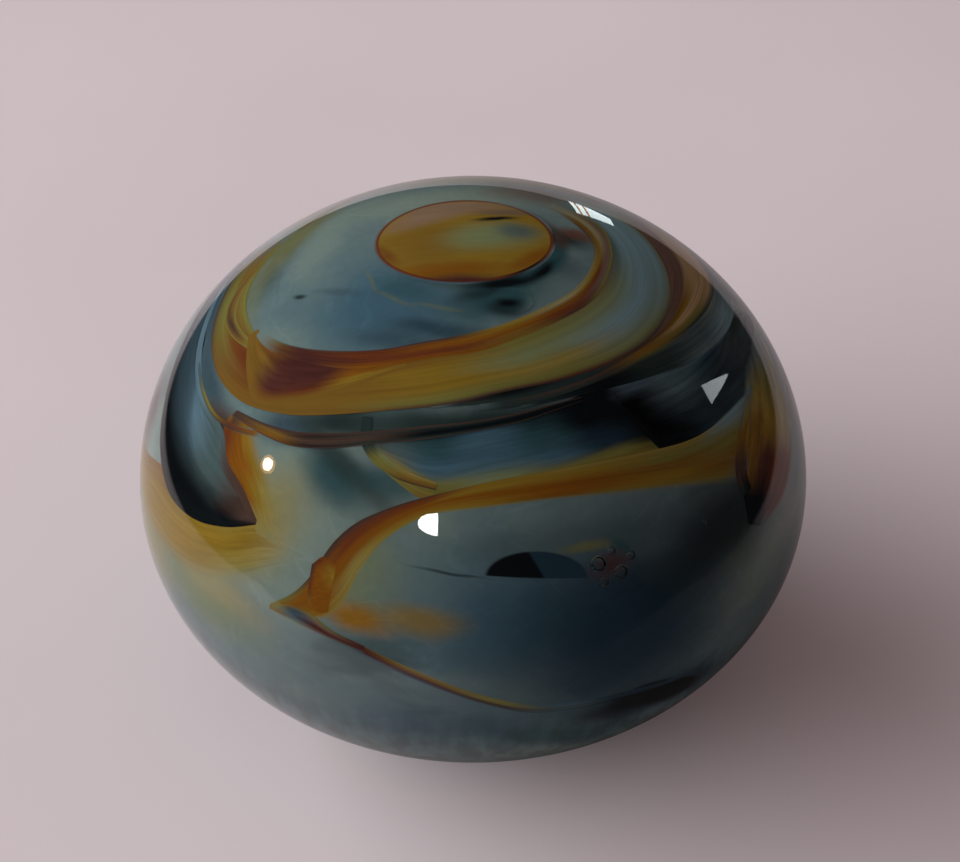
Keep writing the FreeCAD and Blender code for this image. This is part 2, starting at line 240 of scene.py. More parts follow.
# Laid after the windows, so the windows' edges show against them.
UNDERLAYS = {
    "blue_pocket": (
        [(-28, 44), (-13, 46), (0, 47.8), (13, 49), (25, 49.6), (40, 49.6)],
        [(-26.5, 40.5), (-18, 37), (-8, 33.8), (5, 36), (20, 36.5), (46, 34)],
    ),
    "left_hook": (
        [(-63, 33.4), (-61.5, 30), (-57, 26.5), (-51, 25), (-46, 23), (-42, 20)],
        [(-55, 35), (-50, 33), (-44, 30), (-41, 27), (-38, 23.5), (-36, 20)],
    ),
    "yellow_crescent": (
        [(-96, 9), (-84, 10), (-72, 15), (-60, 17), (-50, 20), (-42, 23.5), (-34, 22)],
        [(-96, 4), (-84, 2.5), (-72, 1.8), (-60, 3), (-50, 6), (-42, 10.5), (-32, 18.5)],
    ),
    "back_amber_wave": (
        [(80, 16), (104, 17), (126, 14), (150, 9), (175, 7), (200, 9), (225, 12), (250, 12),
         (268, 9)],
        [(80, 12), (104, 10.5), (126, 6), (150, 1), (175, -2), (200, -1), (225, 2), (250, 4),
         (268, 4.5)],
    ),
    "back_thread": (
        [(150, -6), (175, -8), (200, -7.5), (230, -4)],
        [(150, -7.2), (175, -9.4), (200, -8.9), (230, -5.2)],
    ),
}

# Trapped bubbles in the casing: longitude, latitude, distance from the centre, radius.
BUBBLES = [
    (22.2, 22.0, 37.5, 0.95),
    (26.0, 19.6, 37.6, 0.85),
    (22.6, 18.9, 37.7, 0.6),
    (28.6, 21.6, 37.3, 0.55),
    (25.2, 23.4, 37.2, 0.5),
    (45.2, 20.8, 37.3, 0.4),
]


# ---- directions and forms
def direction(longitude, latitude):
    """The unit vector of a longitude and latitude in degrees."""
    east, up = np.radians(longitude), np.radians(latitude)
    return np.stack([np.cos(up) * np.sin(east), -np.cos(up) * np.cos(east), np.sin(up)], axis=-1)


def reach(directions, form):
    """How far a form's surface is from the equator's centre along unit directions."""
    across, above, below = form
    rise = np.where(directions[..., 2] >= 0, above, below)
    flat = (directions[..., 0] ** 2 + directions[..., 1] ** 2) / across**2
    return 1 / np.sqrt(flat + directions[..., 2] ** 2 / rise**2)


def unit(vectors):
    return vectors / np.linalg.norm(vectors, axis=-1, keepdims=True)


def smooth_step(low, high, value):
    share = np.clip((value - low) / (high - low), 0, 1)
    return share * share * (3 - 2 * share)


def smooth_line(points, count):
    """Unit directions along a smooth curve through (longitude, latitude) points, evenly spaced."""
    knots = direction(*np.array(points, float).T)
    ends = [2 * knots[0] - knots[1], 2 * knots[-1] - knots[-2]]
    knots = np.vstack([ends[:1], knots, ends[1:]])
    fine = []
    share = np.linspace(0, 1, 24, endpoint=False)[:, None]
    for a, b, c, d in zip(knots, knots[1:], knots[2:], knots[3:]):
        slope_b, slope_c = curve_slopes(a, b, c, d)
        fine.append(hermite(b, slope_b, c, slope_c, share))
    fine = unit(np.vstack(fine + [knots[-2:-1]]))
    steps = np.concatenate([[0], np.cumsum(np.linalg.norm(np.diff(fine, axis=0), axis=1))])
    even = np.linspace(0, steps[-1], count)
    return unit(np.stack([np.interp(even, steps, fine[:, axis]) for axis in range(3)], axis=-1))


def curve_slopes(a, b, c, d):
    """The slopes at b and c of a smooth curve through four points, weighted by their spacing."""
    first, middle, last = (max(np.linalg.norm(q - p), TINY) ** 0.5 for p, q in ((a, b), (b, c), (c, d)))
    slope_b = (b - a) / first - (c - a) / (first + middle) + (c - b) / middle
    slope_c = (c - b) / middle - (d - b) / (middle + last) + (d - c) / last
    return slope_b * middle, slope_c * middle


def hermite(b, slope_b, c, slope_c, t):
    return (
        (2 * t**3 - 3 * t**2 + 1) * b
        + (t**3 - 2 * t**2 + t) * slope_b
        + (3 * t**2 - 2 * t**3) * c
        + (t**3 - t**2) * slope_c
    )


# ---- meshes
def add_object(name, points, faces, uvs=None, smooth_angle=50):
    """A mesh object from arrays, smooth but for its sharp edges, with one UV for each point."""
    mesh = bpy.data.meshes.new(name)
    mesh.from_pydata(points.tolist(), [], [tuple(int(i) for i in face) for face in faces])
    if uvs is not None:
        layer = mesh.uv_layers.new(name="UVMap")
        corners = np.empty(len(mesh.loops), dtype=np.int32)
        mesh.loops.foreach_get("vertex_index", corners)
        layer.data.foreach_set("uv", uvs[corners].astype(np.float32).ravel())
    mesh.shade_smooth()
    mesh.set_sharp_from_angle(angle=math.radians(smooth_angle))
    mesh.update()
    thing = bpy.data.objects.new(name, mesh)
    bpy.context.scene.collection.objects.link(thing)
    return thing


def face_outwards(piece):
    """Shades a thin piece as the smooth form it lies on, so that its low edges don't show as lines."""
    points = np.array([tuple(vertex.co) for vertex in piece.data.vertices])
    offsets = points - MIDDLE
    across, above, below = COLOUR_FORM
    axes = np.full(offsets.shape, across)
    axes[:, 2] = np.where(offsets[:, 2] >= 0, above, below)
    piece.data.normals_split_custom_set_from_vertices(unit(offsets / axes**2).tolist())


def grid_faces(rows, columns, first=0, flip=False):
    """Quads over a grid of points numbered row by row."""
    corner = (np.arange(rows - 1)[:, None] * columns + np.arange(columns - 1)[None, :]).ravel() + first
    faces = np.stack([corner, corner + 1, corner + columns + 1, corner + columns], axis=-1)
    return faces[:, ::-1] if flip else faces


def slab(top, bottom, uvs, name):
    """A closed thin solid between two grids of points, top and bottom."""
    rows, columns = top.shape[:2]
    count = rows * columns
    index = np.arange(count).reshape(rows, columns)
    rim = np.concatenate([index[0, :-1], index[:-1, -1], index[-1, :0:-1], index[:0:-1, 0]])
    after = np.roll(rim, -1)
    walls = np.stack([rim, rim + count, after + count, after], axis=-1)
    faces = np.vstack([grid_faces(rows, columns), grid_faces(rows, columns, count, True), walls])
    points = np.vstack([top.reshape(-1, 3), bottom.reshape(-1, 3)])
    both = np.vstack([uvs.reshape(-1, 2)] * 2)
    return add_object(name, points, faces, both)


def place(directions, distance):
    """Points at a distance from the equator's centre along unit directions."""
    return directions * distance[..., None] + MIDDLE


def strip(name, edges, level, deep=False, under=False, flush=(0, 0), along=160, across=30):
    """A piece of laid glass between two edges. Its UV runs along it, and across it from the second edge.

    flush: over what shares of its width it sinks level with the ground, at the second edge and the first.
    """
    upper, lower = (smooth_line(points, along) for points in edges)
    share = np.linspace(0, 1, across)
    directions = unit(lower[None] * (1 - share)[:, None, None] + upper[None] * share[:, None, None])
    u, v = np.meshgrid(np.linspace(0, 1, along), share)
    for place_across, width in ((v, flush[0]), (1 - v, flush[1])):
        if width:
            level = level * smooth_step(0, width, place_across)
    surface = reach(directions, COLOUR_FORM) + level
    if deep:
        surface -= WINDOW_DEPTH * smooth_step(*WINDOW_SLOPE, inside_outline(directions, edges))
    if under:
        surface -= sunk_depth(directions)
    top = place(directions, surface)
    bottom = place(directions, surface - STRIP_THICKNESS)
    piece = slab(top, bottom, np.stack([u, v], axis=-1), name)
    turn_outwards(piece)
    if not deep:
        face_outwards(piece)
    return piece


def inside_outline(directions, edges):
    """How far inside a strip's outline each direction is, on the colour layer; 0 outside it."""
    upper, lower = (smooth_line(points, 60) for points in edges)
    outline = np.vstack([upper, lower[::-1]])
    middle = unit(outline.mean(axis=0))
    east = unit(np.cross([0, 0, 1], middle))
    north = np.cross(middle, east)
    flat = directions.reshape(-1, 3)
    ahead = flat @ middle
    # Only directions well on the outline's side are flattened onto its plane.
    faces_it = ahead > 0.2
    depth = np.zeros(len(flat))
    spots = np.stack([flat[faces_it] @ east, flat[faces_it] @ north], -1) / ahead[faces_it, None]
    corners = np.stack([outline @ east, outline @ north], -1) / (outline @ middle)[:, None]
    depth[faces_it] = depth_in_polygon(spots, corners) * COLOUR_FORM[0]
    return depth.reshape(directions.shape[:-1])


def depth_in_polygon(spots, corners):
    """The distance from each spot to a polygon's nearest side, or 0 for a spot outside it."""
    crossings = np.zeros(len(spots), int)
    nearest = np.full(len(spots), np.inf)
    for start, end in zip(corners, np.roll(corners, -1, axis=0)):
        side = end - start
        offset = spots - start
        share = np.clip(offset @ side / max(side @ side, TINY), 0, 1)
        nearest = np.minimum(nearest, np.linalg.norm(offset - share[:, None] * side, axis=1))
        spans = (start[1] > spots[:, 1]) != (end[1] > spots[:, 1])
        rise = side[1] if abs(side[1]) > TINY else TINY
        crossings += spans & (offset[:, 0] < side[0] * offset[:, 1] / rise)
    return np.where(crossings % 2 == 1, nearest, 0)


def turn_outwards(piece):
    """Turns a closed mesh's faces outwards, if they face inwards."""
    solid = bmesh.new()
    solid.from_mesh(piece.data)
    if solid.calc_volume(signed=True) < 0:
        piece.data.flip_normals()
    solid.free()


def disc(name, centre, halves, level, flush=False, count=48):
    """A thin elliptical piece on the top of the layer, level with the ground at its rim if it's flush.

    Its UV is its plan, left to right and front to back.
    """
    across, back = np.meshgrid(np.linspace(-1, 1, count), np.linspace(-1, 1, count))
    plan_x = across * np.sqrt(1 - back**2 / 2)
    plan_y = back * np.sqrt(1 - across**2 / 2)
    x = centre[0] + halves[0] * plan_x
    y = centre[1] + halves[1] * plan_y
    radius, rise = COLOUR_FORM[:2]
    height = rise * np.sqrt(1 - (x**2 + y**2) / radius**2)
    surface = np.stack([x, y, height], axis=-1)
    distance = np.linalg.norm(surface, axis=-1)
    directions = unit(surface)
    if flush:
        level = level * smooth_step(1.0, 0.9, np.hypot(plan_x, plan_y))
    top = place(directions, distance + level)
    bottom = place(directions, distance + level - STRIP_THICKNESS)
    uvs = np.stack([plan_x, plan_y], axis=-1) / 2 + 0.5
    piece = slab(top, bottom, uvs, name)
    turn_outwards(piece)
    face_outwards(piece)
    return piece


def lathe(profile, around=240):
    """Points and faces of a solid of revolution. Its (radius, height) points start and end on the axis."""
    turn = np.linspace(0, 2 * math.pi, around, endpoint=False)
    rings = np.array(profile[1:-1])
    x = rings[:, :1] * np.sin(turn)
    y = -rings[:, :1] * np.cos(turn)
    z = np.broadcast_to(rings[:, 1:], x.shape)
    ends = [[0, 0, profile[0][1]], [0, 0, profile[-1][1]]]
    points = np.vstack([np.stack([x, y, z], axis=-1).reshape(-1, 3), ends])
    corner = np.arange(around)
    after = (corner + 1) % around
    faces = []
    for ring in range(len(rings) - 1):
        near, far = ring * around, (ring + 1) * around
        faces += np.stack([corner + near, corner + far, after + far, after + near], axis=-1).tolist()
    first, last = len(points) - 2, len(points) - 1
    bottom_ring = (len(rings) - 1) * around
    faces += [[first, a, b] for a, b in zip(corner, after)]
    faces += [[last, b + bottom_ring, a + bottom_ring] for a, b in zip(corner, after)]
    return points, faces


def dome_profile(form, foot, steps=110):
    """(radius, height) points of a form from its top down to a foot height."""
    across, above, below = form
    lowest = math.asin((EQUATOR_HEIGHT - foot) / below)
    points = []
    for angle in np.linspace(math.pi / 2, -lowest, steps):
        depth = above if angle > 0 else below
        points.append((across * max(math.cos(angle), 0), EQUATOR_HEIGHT + depth * math.sin(angle)))
    points[0] = (0, points[0][1])
    return points


def hollow_profile(gap, steps=12):
    """(radius, height) points of the ground hollow, from its edge to the middle of the foot."""
    edge = math.sqrt(HOLLOW_BALL**2 - (HOLLOW_BALL - HOLLOW_DEPTH) ** 2)
    centre = HOLLOW_DEPTH - HOLLOW_BALL
    radii = np.linspace(edge, 0, steps)
    return [(radius, math.sqrt(HOLLOW_BALL**2 - radius**2) + centre + gap) for radius in radii]


def rounded_foot(profile):
    """Replaces the sharp end of a dome's profile with a small round onto the flat foot."""
    (radius_above, height_above), (radius, _) = profile[-2:]
    slope = math.atan2(height_above, radius_above - radius)
    tangent = FOOT_ROUND * math.tan(slope / 2)
    start = (radius + tangent * math.cos(slope), tangent * math.sin(slope))
    end = (radius - tangent, 0)
    bend = []
    for t in np.linspace(0, 1, 6):
        weights = ((1 - t) ** 2, 2 * t * (1 - t), t * t)
        bend.append(tuple(np.dot(weights, along) for along in zip(start, (radius, 0), end)))
    return [point for point in profile[:-1] if point[1] > start[1]] + bend


def sunk_depth(directions):
    """How far what lies behind the deep windows is drawn in towards the middle."""
    depth = np.zeros(directions.shape[:-1])
    for edges in WINDOWS.values():
        inside = inside_outline(directions, edges)
        depth += (WINDOW_DEPTH + WINDOW_CLEARANCE) * smooth_step(*CLEARANCE_SLOPE, inside)
    return depth


def sink_windows(points):
    """Draws points of a layer in towards the middle behind the deep windows."""
    offsets = points - MIDDLE
    distance = np.linalg.norm(offsets, axis=1)
    directions = offsets / distance[:, None]
    return place(directions, distance - sunk_depth(directions))


# ---- node helpers
class Graph:
    """Adds nodes to one tree. A value is a number, a colour, a vector or another node's socket."""

    def __init__(self, tree):
        self.tree = tree

    def add(self, kind, inputs=None, **settings):
        node = self.tree.nodes.new("ShaderNode" + kind)
        for name, value in settings.items():
            setattr(node, name, value)
        for name, value in (inputs or {}).items():
            self.put(node.inputs[name], value)
        return node

    def put(self, socket, value):
        if isinstance(value, bpy.types.NodeSocket):
            self.tree.links.new(value, socket)
        elif socket.type == "RGBA":
            socket.default_value = (*value, 1)
        else:
            socket.default_value = value

    def math(self, operation, first, second=0.0):
        return self.add("Math", {0: first, 1: second}, operation=operation).outputs[0]

    def product(self, first, second):
        return self.math("MULTIPLY", first, second)

    def rest(self, share):
        """What is left of 1."""
        return self.math("SUBTRACT", 1.0, share)

    def vector(self, operation, first, second=(0, 0, 0)):
        return self.add("VectorMath", {0: first, 1: second}, operation=operation).outputs[0]

    def times(self, first, second):
        """Two vectors or colours multiplied, axis by axis."""
        return self.vector("MULTIPLY", first, second)

    def length(self, vector):
        return self.add("VectorMath", {0: vector}, operation="LENGTH").outputs["Value"]

    def combine(self, x, y, z):
        return self.add("CombineXYZ", {0: x, 1: y, 2: z}).outputs[0]

    def separate(self, vector):
        return self.add("SeparateXYZ", {0: vector}).outputs

    def place(self, kind):
        """The place being shaded: its "Object", "UV" or "Generated" coordinates."""
        return self.add("TexCoord").outputs[kind]

    def group(self, tree):
        return self.add("Group", node_tree=tree).outputs[0]

    def ray(self, kind):
        """1 for rays of a kind, such as "Is Glossy Ray"."""
        return self.add("LightPath").outputs[kind]

    def ellipse(self, position, spot, size):
        """The position in an ellipse's own axes, in which its surface is 1 from its centre."""
        location, rotation = spot
        inputs = {"Vector": position, "Location": location, "Rotation": rotation, "Scale": size}
        return self.add("Mapping", inputs, vector_type="TEXTURE").outputs[0]

    def step(self, value, low, high):
        """0 at low, 1 at high, and smooth between."""
        inputs = {"Value": value, "From Min": low, "From Max": high}
        return self.add("MapRange", inputs, interpolation_type="SMOOTHSTEP").outputs[0]

    def mix(self, share, first, second, blend="MIX"):
        inputs = {0: share, 6: first, 7: second}
        return self.add("Mix", inputs, data_type="RGBA", blend_type=blend).outputs[2]

    def noise(self, vector, scale, detail=3.0, rough=0.5, warp=0.0):
        inputs = {"Vector": vector, "Scale": scale, "Detail": detail, "Roughness": rough, "Distortion": warp}
        return self.add("TexNoise", inputs)

    def ramp(self, value, stops):
        """The colour at a value among stops, given as {position: colour}."""
        node = self.add("ValToRGB", {0: value})
        elements = node.color_ramp.elements
        elements.remove(elements[1])
        node.color_ramp.interpolation = "EASE"
        for number, (position, colour) in enumerate(stops.items()):
            stop = elements[0] if number == 0 else elements.new(position)
            stop.position = position
            stop.color = (*colour, 1)
        return node.outputs[0]

    def lighten(self, colour, value, least, most):
        """Multiplies a colour by a number that runs from least to most as value goes from 0 to 1."""
        inputs = {"Value": value, "To Min": least, "To Max": most}
        factor = self.add("MapRange", inputs).outputs[0]
        return self.times(colour, self.combine(factor, factor, factor))


# ---- patches of colour
def on_side(longitude, latitude, tilt=0.0):
    """A place on the layer and its axes: along (east, turned by a tilt in degrees), up the layer, and out."""
    out = direction(longitude, latitude)
    east = np.array([math.cos(math.radians(longitude)), math.sin(math.radians(longitude)), 0])
    return patch_axes(out, east, tilt)


def on_top(x, y, tilt=0.0):
    """The same for a place given by its plan in millimetres, with its axes from +X."""
    radius, rise = COLOUR_FORM[:2]
    height = rise * math.sqrt(1 - (x**2 + y**2) * MM**2 / radius**2)
    return patch_axes(unit(np.array([x * MM, y * MM, height])), np.array([1.0, 0, 0]), tilt)


def patch_axes(out, along, tilt):
    along = unit(along - out * (along @ out))
    up = np.cross(out, along)
    turn = math.radians(tilt)
    first = along * math.cos(turn) + up * math.sin(turn)
    second = up * math.cos(turn) - along * math.sin(turn)
    rotation = Matrix((first, second, out)).transposed().to_euler()
    return Vector(out * reach(out, COLOUR_FORM) / MM), rotation


def add_patches(graph, colour, position, patches):
    """Lays soft elliptical patches over a colour: place, half sizes in mm, colour, strength."""
    for spot, (along, across), tint, strength in patches:
        size = (along, across, (along + across) / 2 + PATCH_DEPTH)
        radius = graph.length(graph.ellipse(position, spot, size))
        colour = graph.mix(graph.product(graph.step(radius, 1.0, 0.15), strength), colour, tint)
    return colour


def layer_position(graph, wander, scale):
    """The place on the layer in mm from the equator's centre, and the same place shifted about by noise."""
    position = graph.vector("SUBTRACT", graph.place("Object"), (0, 0, EQUATOR_HEIGHT))
    position = graph.times(position, (1 / MM,) * 3)
    shift = graph.vector("SUBTRACT", graph.noise(position, scale, 2.0).outputs["Color"], (0.5,) * 3)
    return position, graph.vector("ADD", position, graph.times(shift, (wander,) * 3))


def ground_patches():
    """The tints of the opal ground, by region. A later one lies over an earlier one."""
    return [
        (on_top(-9, -7), (19, 12), BLUE, 1.0),
        (on_top(-3, 13), (19, 6.5), PALE_TEAL, 0.9),
        (on_top(7, 14.5), (9, 4.5), MAUVE, 0.7),
        (on_top(2, 21), (20, 4.5), OLIVE, 0.75),
        # Painted shadow: the next two dark patches, under the eye's lower right.
        (on_top(3, -6.5, 25), (9, 4.5), DEEP_TEAL, 1.0),
        (on_top(2.5, -5, 25), (7, 1.8), BLACK, 0.85),
        (on_top(3.6, -8.2), (3.4, 1.8), BLACK, 0.8),
        (on_top(-3.5, -11.2, -8), (8, 2.0), NAVY, 0.7),
        (on_top(-7.5, -12.6, -14), (9, 2.0), NAVY, 0.5),
        (on_top(9.2, -1.6), (4.5, 3.2), SLATE, 0.7),
        (on_top(9.5, 3.6, 20), (5.5, 3), DARK_TEAL, 1.0),
        (on_top(11.5, 5.6), (4, 2.2), RED_BROWN, 0.7),
        (on_side(-120, 47, 0), (13, 4), OLIVE, 0.7),
        (on_side(-112, 56), (9, 4), PALE_TEAL, 0.6),
        (on_side(-92, 43), (12, 3), OLIVE, 0.35),
        (on_side(-84, 54, 60), (1.1, 0.6), BLACK, 0.8),
        (on_top(-14.5, -3.5, -25), (5, 0.9), SLATE, 0.5),
        (on_top(-7, -5, -30), (6, 2.6), DEEP_TEAL, 0.5),
        (on_top(-10.8, -2.8, -70), (3.6, 0.5), OLIVE, 0.3),
        (on_top(-8.0, -6.4, -40), (4.0, 0.5), OLIVE, 0.3),
        (on_top(-3.6, -8.0, -8), (4.4, 0.5), OLIVE, 0.3),
        (on_side(0, 48.5), (27, 4), DARK_TEAL, 1.0),
        (on_side(-33, 45), (7, 3), DARK_TEAL, 0.6),
        (on_side(-40, 25), (14, 13), PALE_TEAL, 1.0),
        (on_side(-44, 20, 60), (13, 7), YELLOW, 0.9),
        (on_side(-47, 38.8, 12), (6, 2.6), SLATE, 1.0),
        (on_side(-37, 43.2, 18), (6, 2.0), DARK_TEAL, 1.0),
        (on_side(-23, 34), (9, 5), GREY_TEAL, 0.8),
        (on_side(-31, 34.5, -28), (7, 3.2), DEEP_TEAL, 0.9),
        (on_side(-31, 37.2, -24), (12, 2.0), DARK_TEAL, 0.8),
        (on_side(-19, 35.5), (5, 2), DEEP_TEAL, 0.7),
        (on_side(-95, 33.6), (16, 2.4), SLATE, 1.0),
        (on_side(-76, 33.0), (10, 2.4), SLATE, 1.0),
        (on_side(-64, 31.6, 10), (6, 2.4), UMBER, 1.0),
        (on_side(-91, 13), (6, 6.5), UMBER, 1.0),
        (on_side(-74, 0), (13, 5.5), YELLOW, 0.75),
        (on_side(-52, 3), (14, 5), OLIVE_TEAL, 0.8),
        (on_side(-48, 6), (11, 3), PALE_GOLD, 0.7),
        (on_side(-8, -9), (24, 9), BLUE, 0.6),
        (on_side(-28, -20), (34, 9), TEAL, 0.9),
        (on_side(8, 15), (20, 15), BLUE, 0.9),
        (on_side(-19, 19), (6.5, 7), OLIVE_TEAL, 1.0),
        (on_side(-13, 17), (8, 8), TEAL, 0.6),
        (on_side(-20.5, 12.4, -12), (6, 2.6), AMBER, 0.95),
        (on_side(-9, 13.5), (7.5, 2.6), GOLD, 0.75),
        (on_side(-4, 22.7, -6), (6, 0.3), BLACK, 0.7),
        (on_side(28, 9), (24, 17), NAVY, 1.0),
        (on_side(52, 17), (19, 8), BLACK, 0.85),
        (on_side(13, 27), (13, 3.2), GREY_TEAL, 0.6),
        (on_side(31, 22.5, -10), (7, 2.4), GREY_TEAL, 0.5),
        (on_side(22, 25.0, -6), (4.2, 0.9), OLIVE, 0.6),
        (on_side(28, 23.0, -55), (2.6, 0.9), DEEP_TEAL, 0.9),
        (on_side(25, 20.4), (3.2, 2.4), PLUM, 0.7),
        (on_side(15, -12, -18), (18, 4), DEEP_TEAL, 0.7),
        (on_side(36, -9, -12), (16, 5), NAVY, 0.9),
        (on_side(28, -7.5, -8), (11, 3), BLACK, 0.9),
        # Painted reflection: a grey haze low on the right limb.
        (on_side(62, -4, 40), (14, 9), GREY_TEAL, 0.5),
    ]


def add_painted_reflection_leaf(graph, colour, position):
    """A painted dark reflection in the glass, of a dark thing in the room: half of an ellipse, straight along
    its lower edge.
    """
    local = graph.ellipse(position, on_side(11.3, 21.1, -9), (5.7, 2.9, PATCH_DEPTH))
    along, up, _ = graph.separate(local)
    inside = graph.product(graph.step(graph.length(local), 1.0, 0.9), graph.step(up, -0.03, 0.03))
    slant = graph.math("ADD", along, graph.product(up, 0.35))
    shade = graph.mix(graph.step(slant, 0.10, 0.18), BLACK, NAVY)
    return graph.mix(inside, colour, shade)


def ground_group():
    """The opal ground's colour at any place, shared by every band whose edge melts into it."""
    tree = bpy.data.node_groups.new("opal_ground_colour", "ShaderNodeTree")
    tree.interface.new_socket("Color", in_out="OUTPUT", socket_type="NodeSocketColor")
    graph = Graph(tree)
    position, wandering = layer_position(graph, 4.0, 0.07)
    flow = graph.times(wandering, (0.7, 0.7, 1.6))
    broad = graph.noise(flow, 0.07, 3.0).outputs[0]
    colour = graph.ramp(broad, {0.3: GREY_TEAL, 0.45: TEAL, 0.72: PALE_TEAL})
    colour = add_patches(graph, colour, wandering, ground_patches())
    wisp = graph.noise(flow, 0.12, 3.0, 0.45, 0.5).outputs[0]
    line = graph.math("ABSOLUTE", graph.math("SUBTRACT", wisp, 0.5))
    lighter = graph.times(colour, (1.15, 1.15, 1.13))
    colour = graph.mix(graph.product(graph.step(line, 0.02, 0.0), 0.6), colour, lighter)
    curtain = graph.noise(graph.times(position, (1.0, 1.0, 0.05)), 0.6, 3.0).outputs[0]
    low_down = graph.step(graph.separate(position)[2], -1.0, -9.0)
    streaked = graph.lighten(colour, graph.step(curtain, 0.35, 0.65), 0.75, 1.15)
    colour = graph.mix(low_down, colour, streaked)
    speckle = graph.noise(position, 1.1, 4.0).outputs[0]
    colour = graph.lighten(colour, speckle, 0.9, 1.1)
    # Painted reflection: a dark leaf shape laid into the ground's colour.
    colour = add_painted_reflection_leaf(graph, colour, position)
    output = tree.nodes.new("NodeGroupOutput")
    graph.put(output.inputs[0], colour)
    return tree


# ---- materials
def new_material(name):
    """An empty node material, as a graph with its output node."""
    material = bpy.data.materials.new(name)
    material.use_nodes = True
    material.node_tree.nodes.clear()
    graph = Graph(material.node_tree)
    return material, graph, graph.add("OutputMaterial")


def sealed_glass(graph, output, colour):
    """Coloured glass under the casing: no gloss of its own, because glass touches glass."""
    inputs = {"Base Color": colour, "Roughness": 0.4, "Specular IOR Level": 0.0}
    shader = graph.add("BsdfPrincipled", inputs)
    graph.put(output.inputs["Surface"], shader.outputs[0])


def ground_material(group):
    material, graph, output = new_material("opal_ground")
    sealed_glass(graph, output, graph.group(group))
    return material


def band_material(
    name, group, stations, soft=(0, 0, 0, 0), melt=None, streak=0.2, wobble=0.10, fine=16, seed=0
):
    """Glass drawn out along a strip.

    stations: {u: {v: colour}}, the colours across the strip at places along it.
    soft: how far its edges melt away, as shares: at v 0, at v 1, at u 0 and at u 1.
    melt: the colour that its edges melt into, or None for the opal ground.
    """
    material, graph, output = new_material(name)
    u, v, _ = graph.separate(graph.place("UV"))
    flow = graph.combine(graph.product(u, 3.0), graph.product(v, 4.0), seed)
    drift = graph.math("SUBTRACT", graph.noise(flow, 1.0, 3.0).outputs[0], 0.5)
    across = graph.math("ADD", v, graph.product(drift, wobble * 2))
    along = graph.math("ADD", u, graph.product(drift, 0.12))
    places = list(stations)
    colour = graph.ramp(across, stations[places[0]])
    for before, after in zip(places, places[1:]):
        colour = graph.mix(graph.step(along, before, after), colour, graph.ramp(across, stations[after]))
    threads = graph.combine(graph.product(u, 4.0), graph.product(v, float(fine)), seed + 5)
    thread = graph.noise(threads, 1.0, 4.0, 0.6, 0.3).outputs[0]
    colour = graph.lighten(colour, graph.step(thread, 0.3, 0.7), 1 - streak, 1 + streak)
    ends = [(v, soft[0]), (graph.rest(v), soft[1])]
    ends += [(u, soft[2]), (graph.rest(u), soft[3])]
    share = None
    for place_across, width in ends:
        if width:
            fade = graph.step(place_across, 0.0, width)
            share = fade if share is None else graph.product(share, fade)
    if share is not None:
        colour = graph.mix(share, melt or graph.group(group), colour)
    sealed_glass(graph, output, colour)
    return material


def patched_material(name, base, patches, wander=1.5, streak=0.15, group=None, melt_from=1.0):
    """Glass of one colour with soft patches of others, for a disc. Its rim can melt into the ground."""
    material, graph, output = new_material(name)
    position, wandering = layer_position(graph, wander, 0.25)
    colour = add_patches(graph, base, wandering, patches)
    threads = graph.noise(graph.times(wandering, (0.25, 1.6, 1.0)), 0.8, 4.0).outputs[0]
    colour = graph.lighten(colour, threads, 1 - streak, 1 + streak)
    if group:
        radius = graph.length(graph.vector("SUBTRACT", graph.place("UV"), (0.5, 0.5, 0)))
        colour = graph.mix(graph.step(radius, 0.5, 0.5 * melt_from), graph.group(group), colour)
    sealed_glass(graph, output, colour)
    return material


def glass_shader(graph, roughness, tint):
    """Clear glass that lets lamps and daylight through to what it encloses."""
    inputs = {"Color": tint, "Roughness": roughness, "IOR": GLASS_INDEX}
    glass = graph.add("BsdfGlass", inputs).outputs[0]
    open_air = graph.add("BsdfTransparent", {"Color": (0.97, 0.98, 0.98)}).outputs[0]
    for kind in ("Is Diffuse Ray", "Is Shadow Ray"):
        glass = graph.add("MixShader", {0: graph.ray(kind), 1: glass, 2: open_air}).outputs[0]
    return glass


def casing_material():
    material, graph, output = new_material("clear_glass")
    graph.put(output.inputs["Surface"], glass_shader(graph, 0.0, (1.0, 1.0, 1.0)))
    return material


def ground_foot_material():
    """The foot's surface, ground on a wheel: frosted, and uneven at a fine scale."""
    material, graph, output = new_material("ground_foot")
    scratches = graph.noise(graph.times(graph.place("Object"), (1 / MM,) * 3), 3.0, 6.0).outputs[0]
    roughness = graph.add("MapRange", {"Value": scratches, "To Min": 0.25, "To Max": 0.5}).outputs[0]
    graph.put(output.inputs["Surface"], glass_shader(graph, roughness, (0.93, 0.95, 0.95)))
    return material


def core_material():
    """The smoky core, seen only through the foot."""
    material, graph, output = new_material("core_glass")
    _, wandering = layer_position(graph, 4.0, 0.1)
    cloud = graph.noise(wandering, 0.12, 4.0).outputs[0]
    sealed_glass(graph, output, graph.ramp(cloud, {0.35: DARK_TEAL, 0.55: GREY_TEAL, 0.7: TEAL}))
    return material


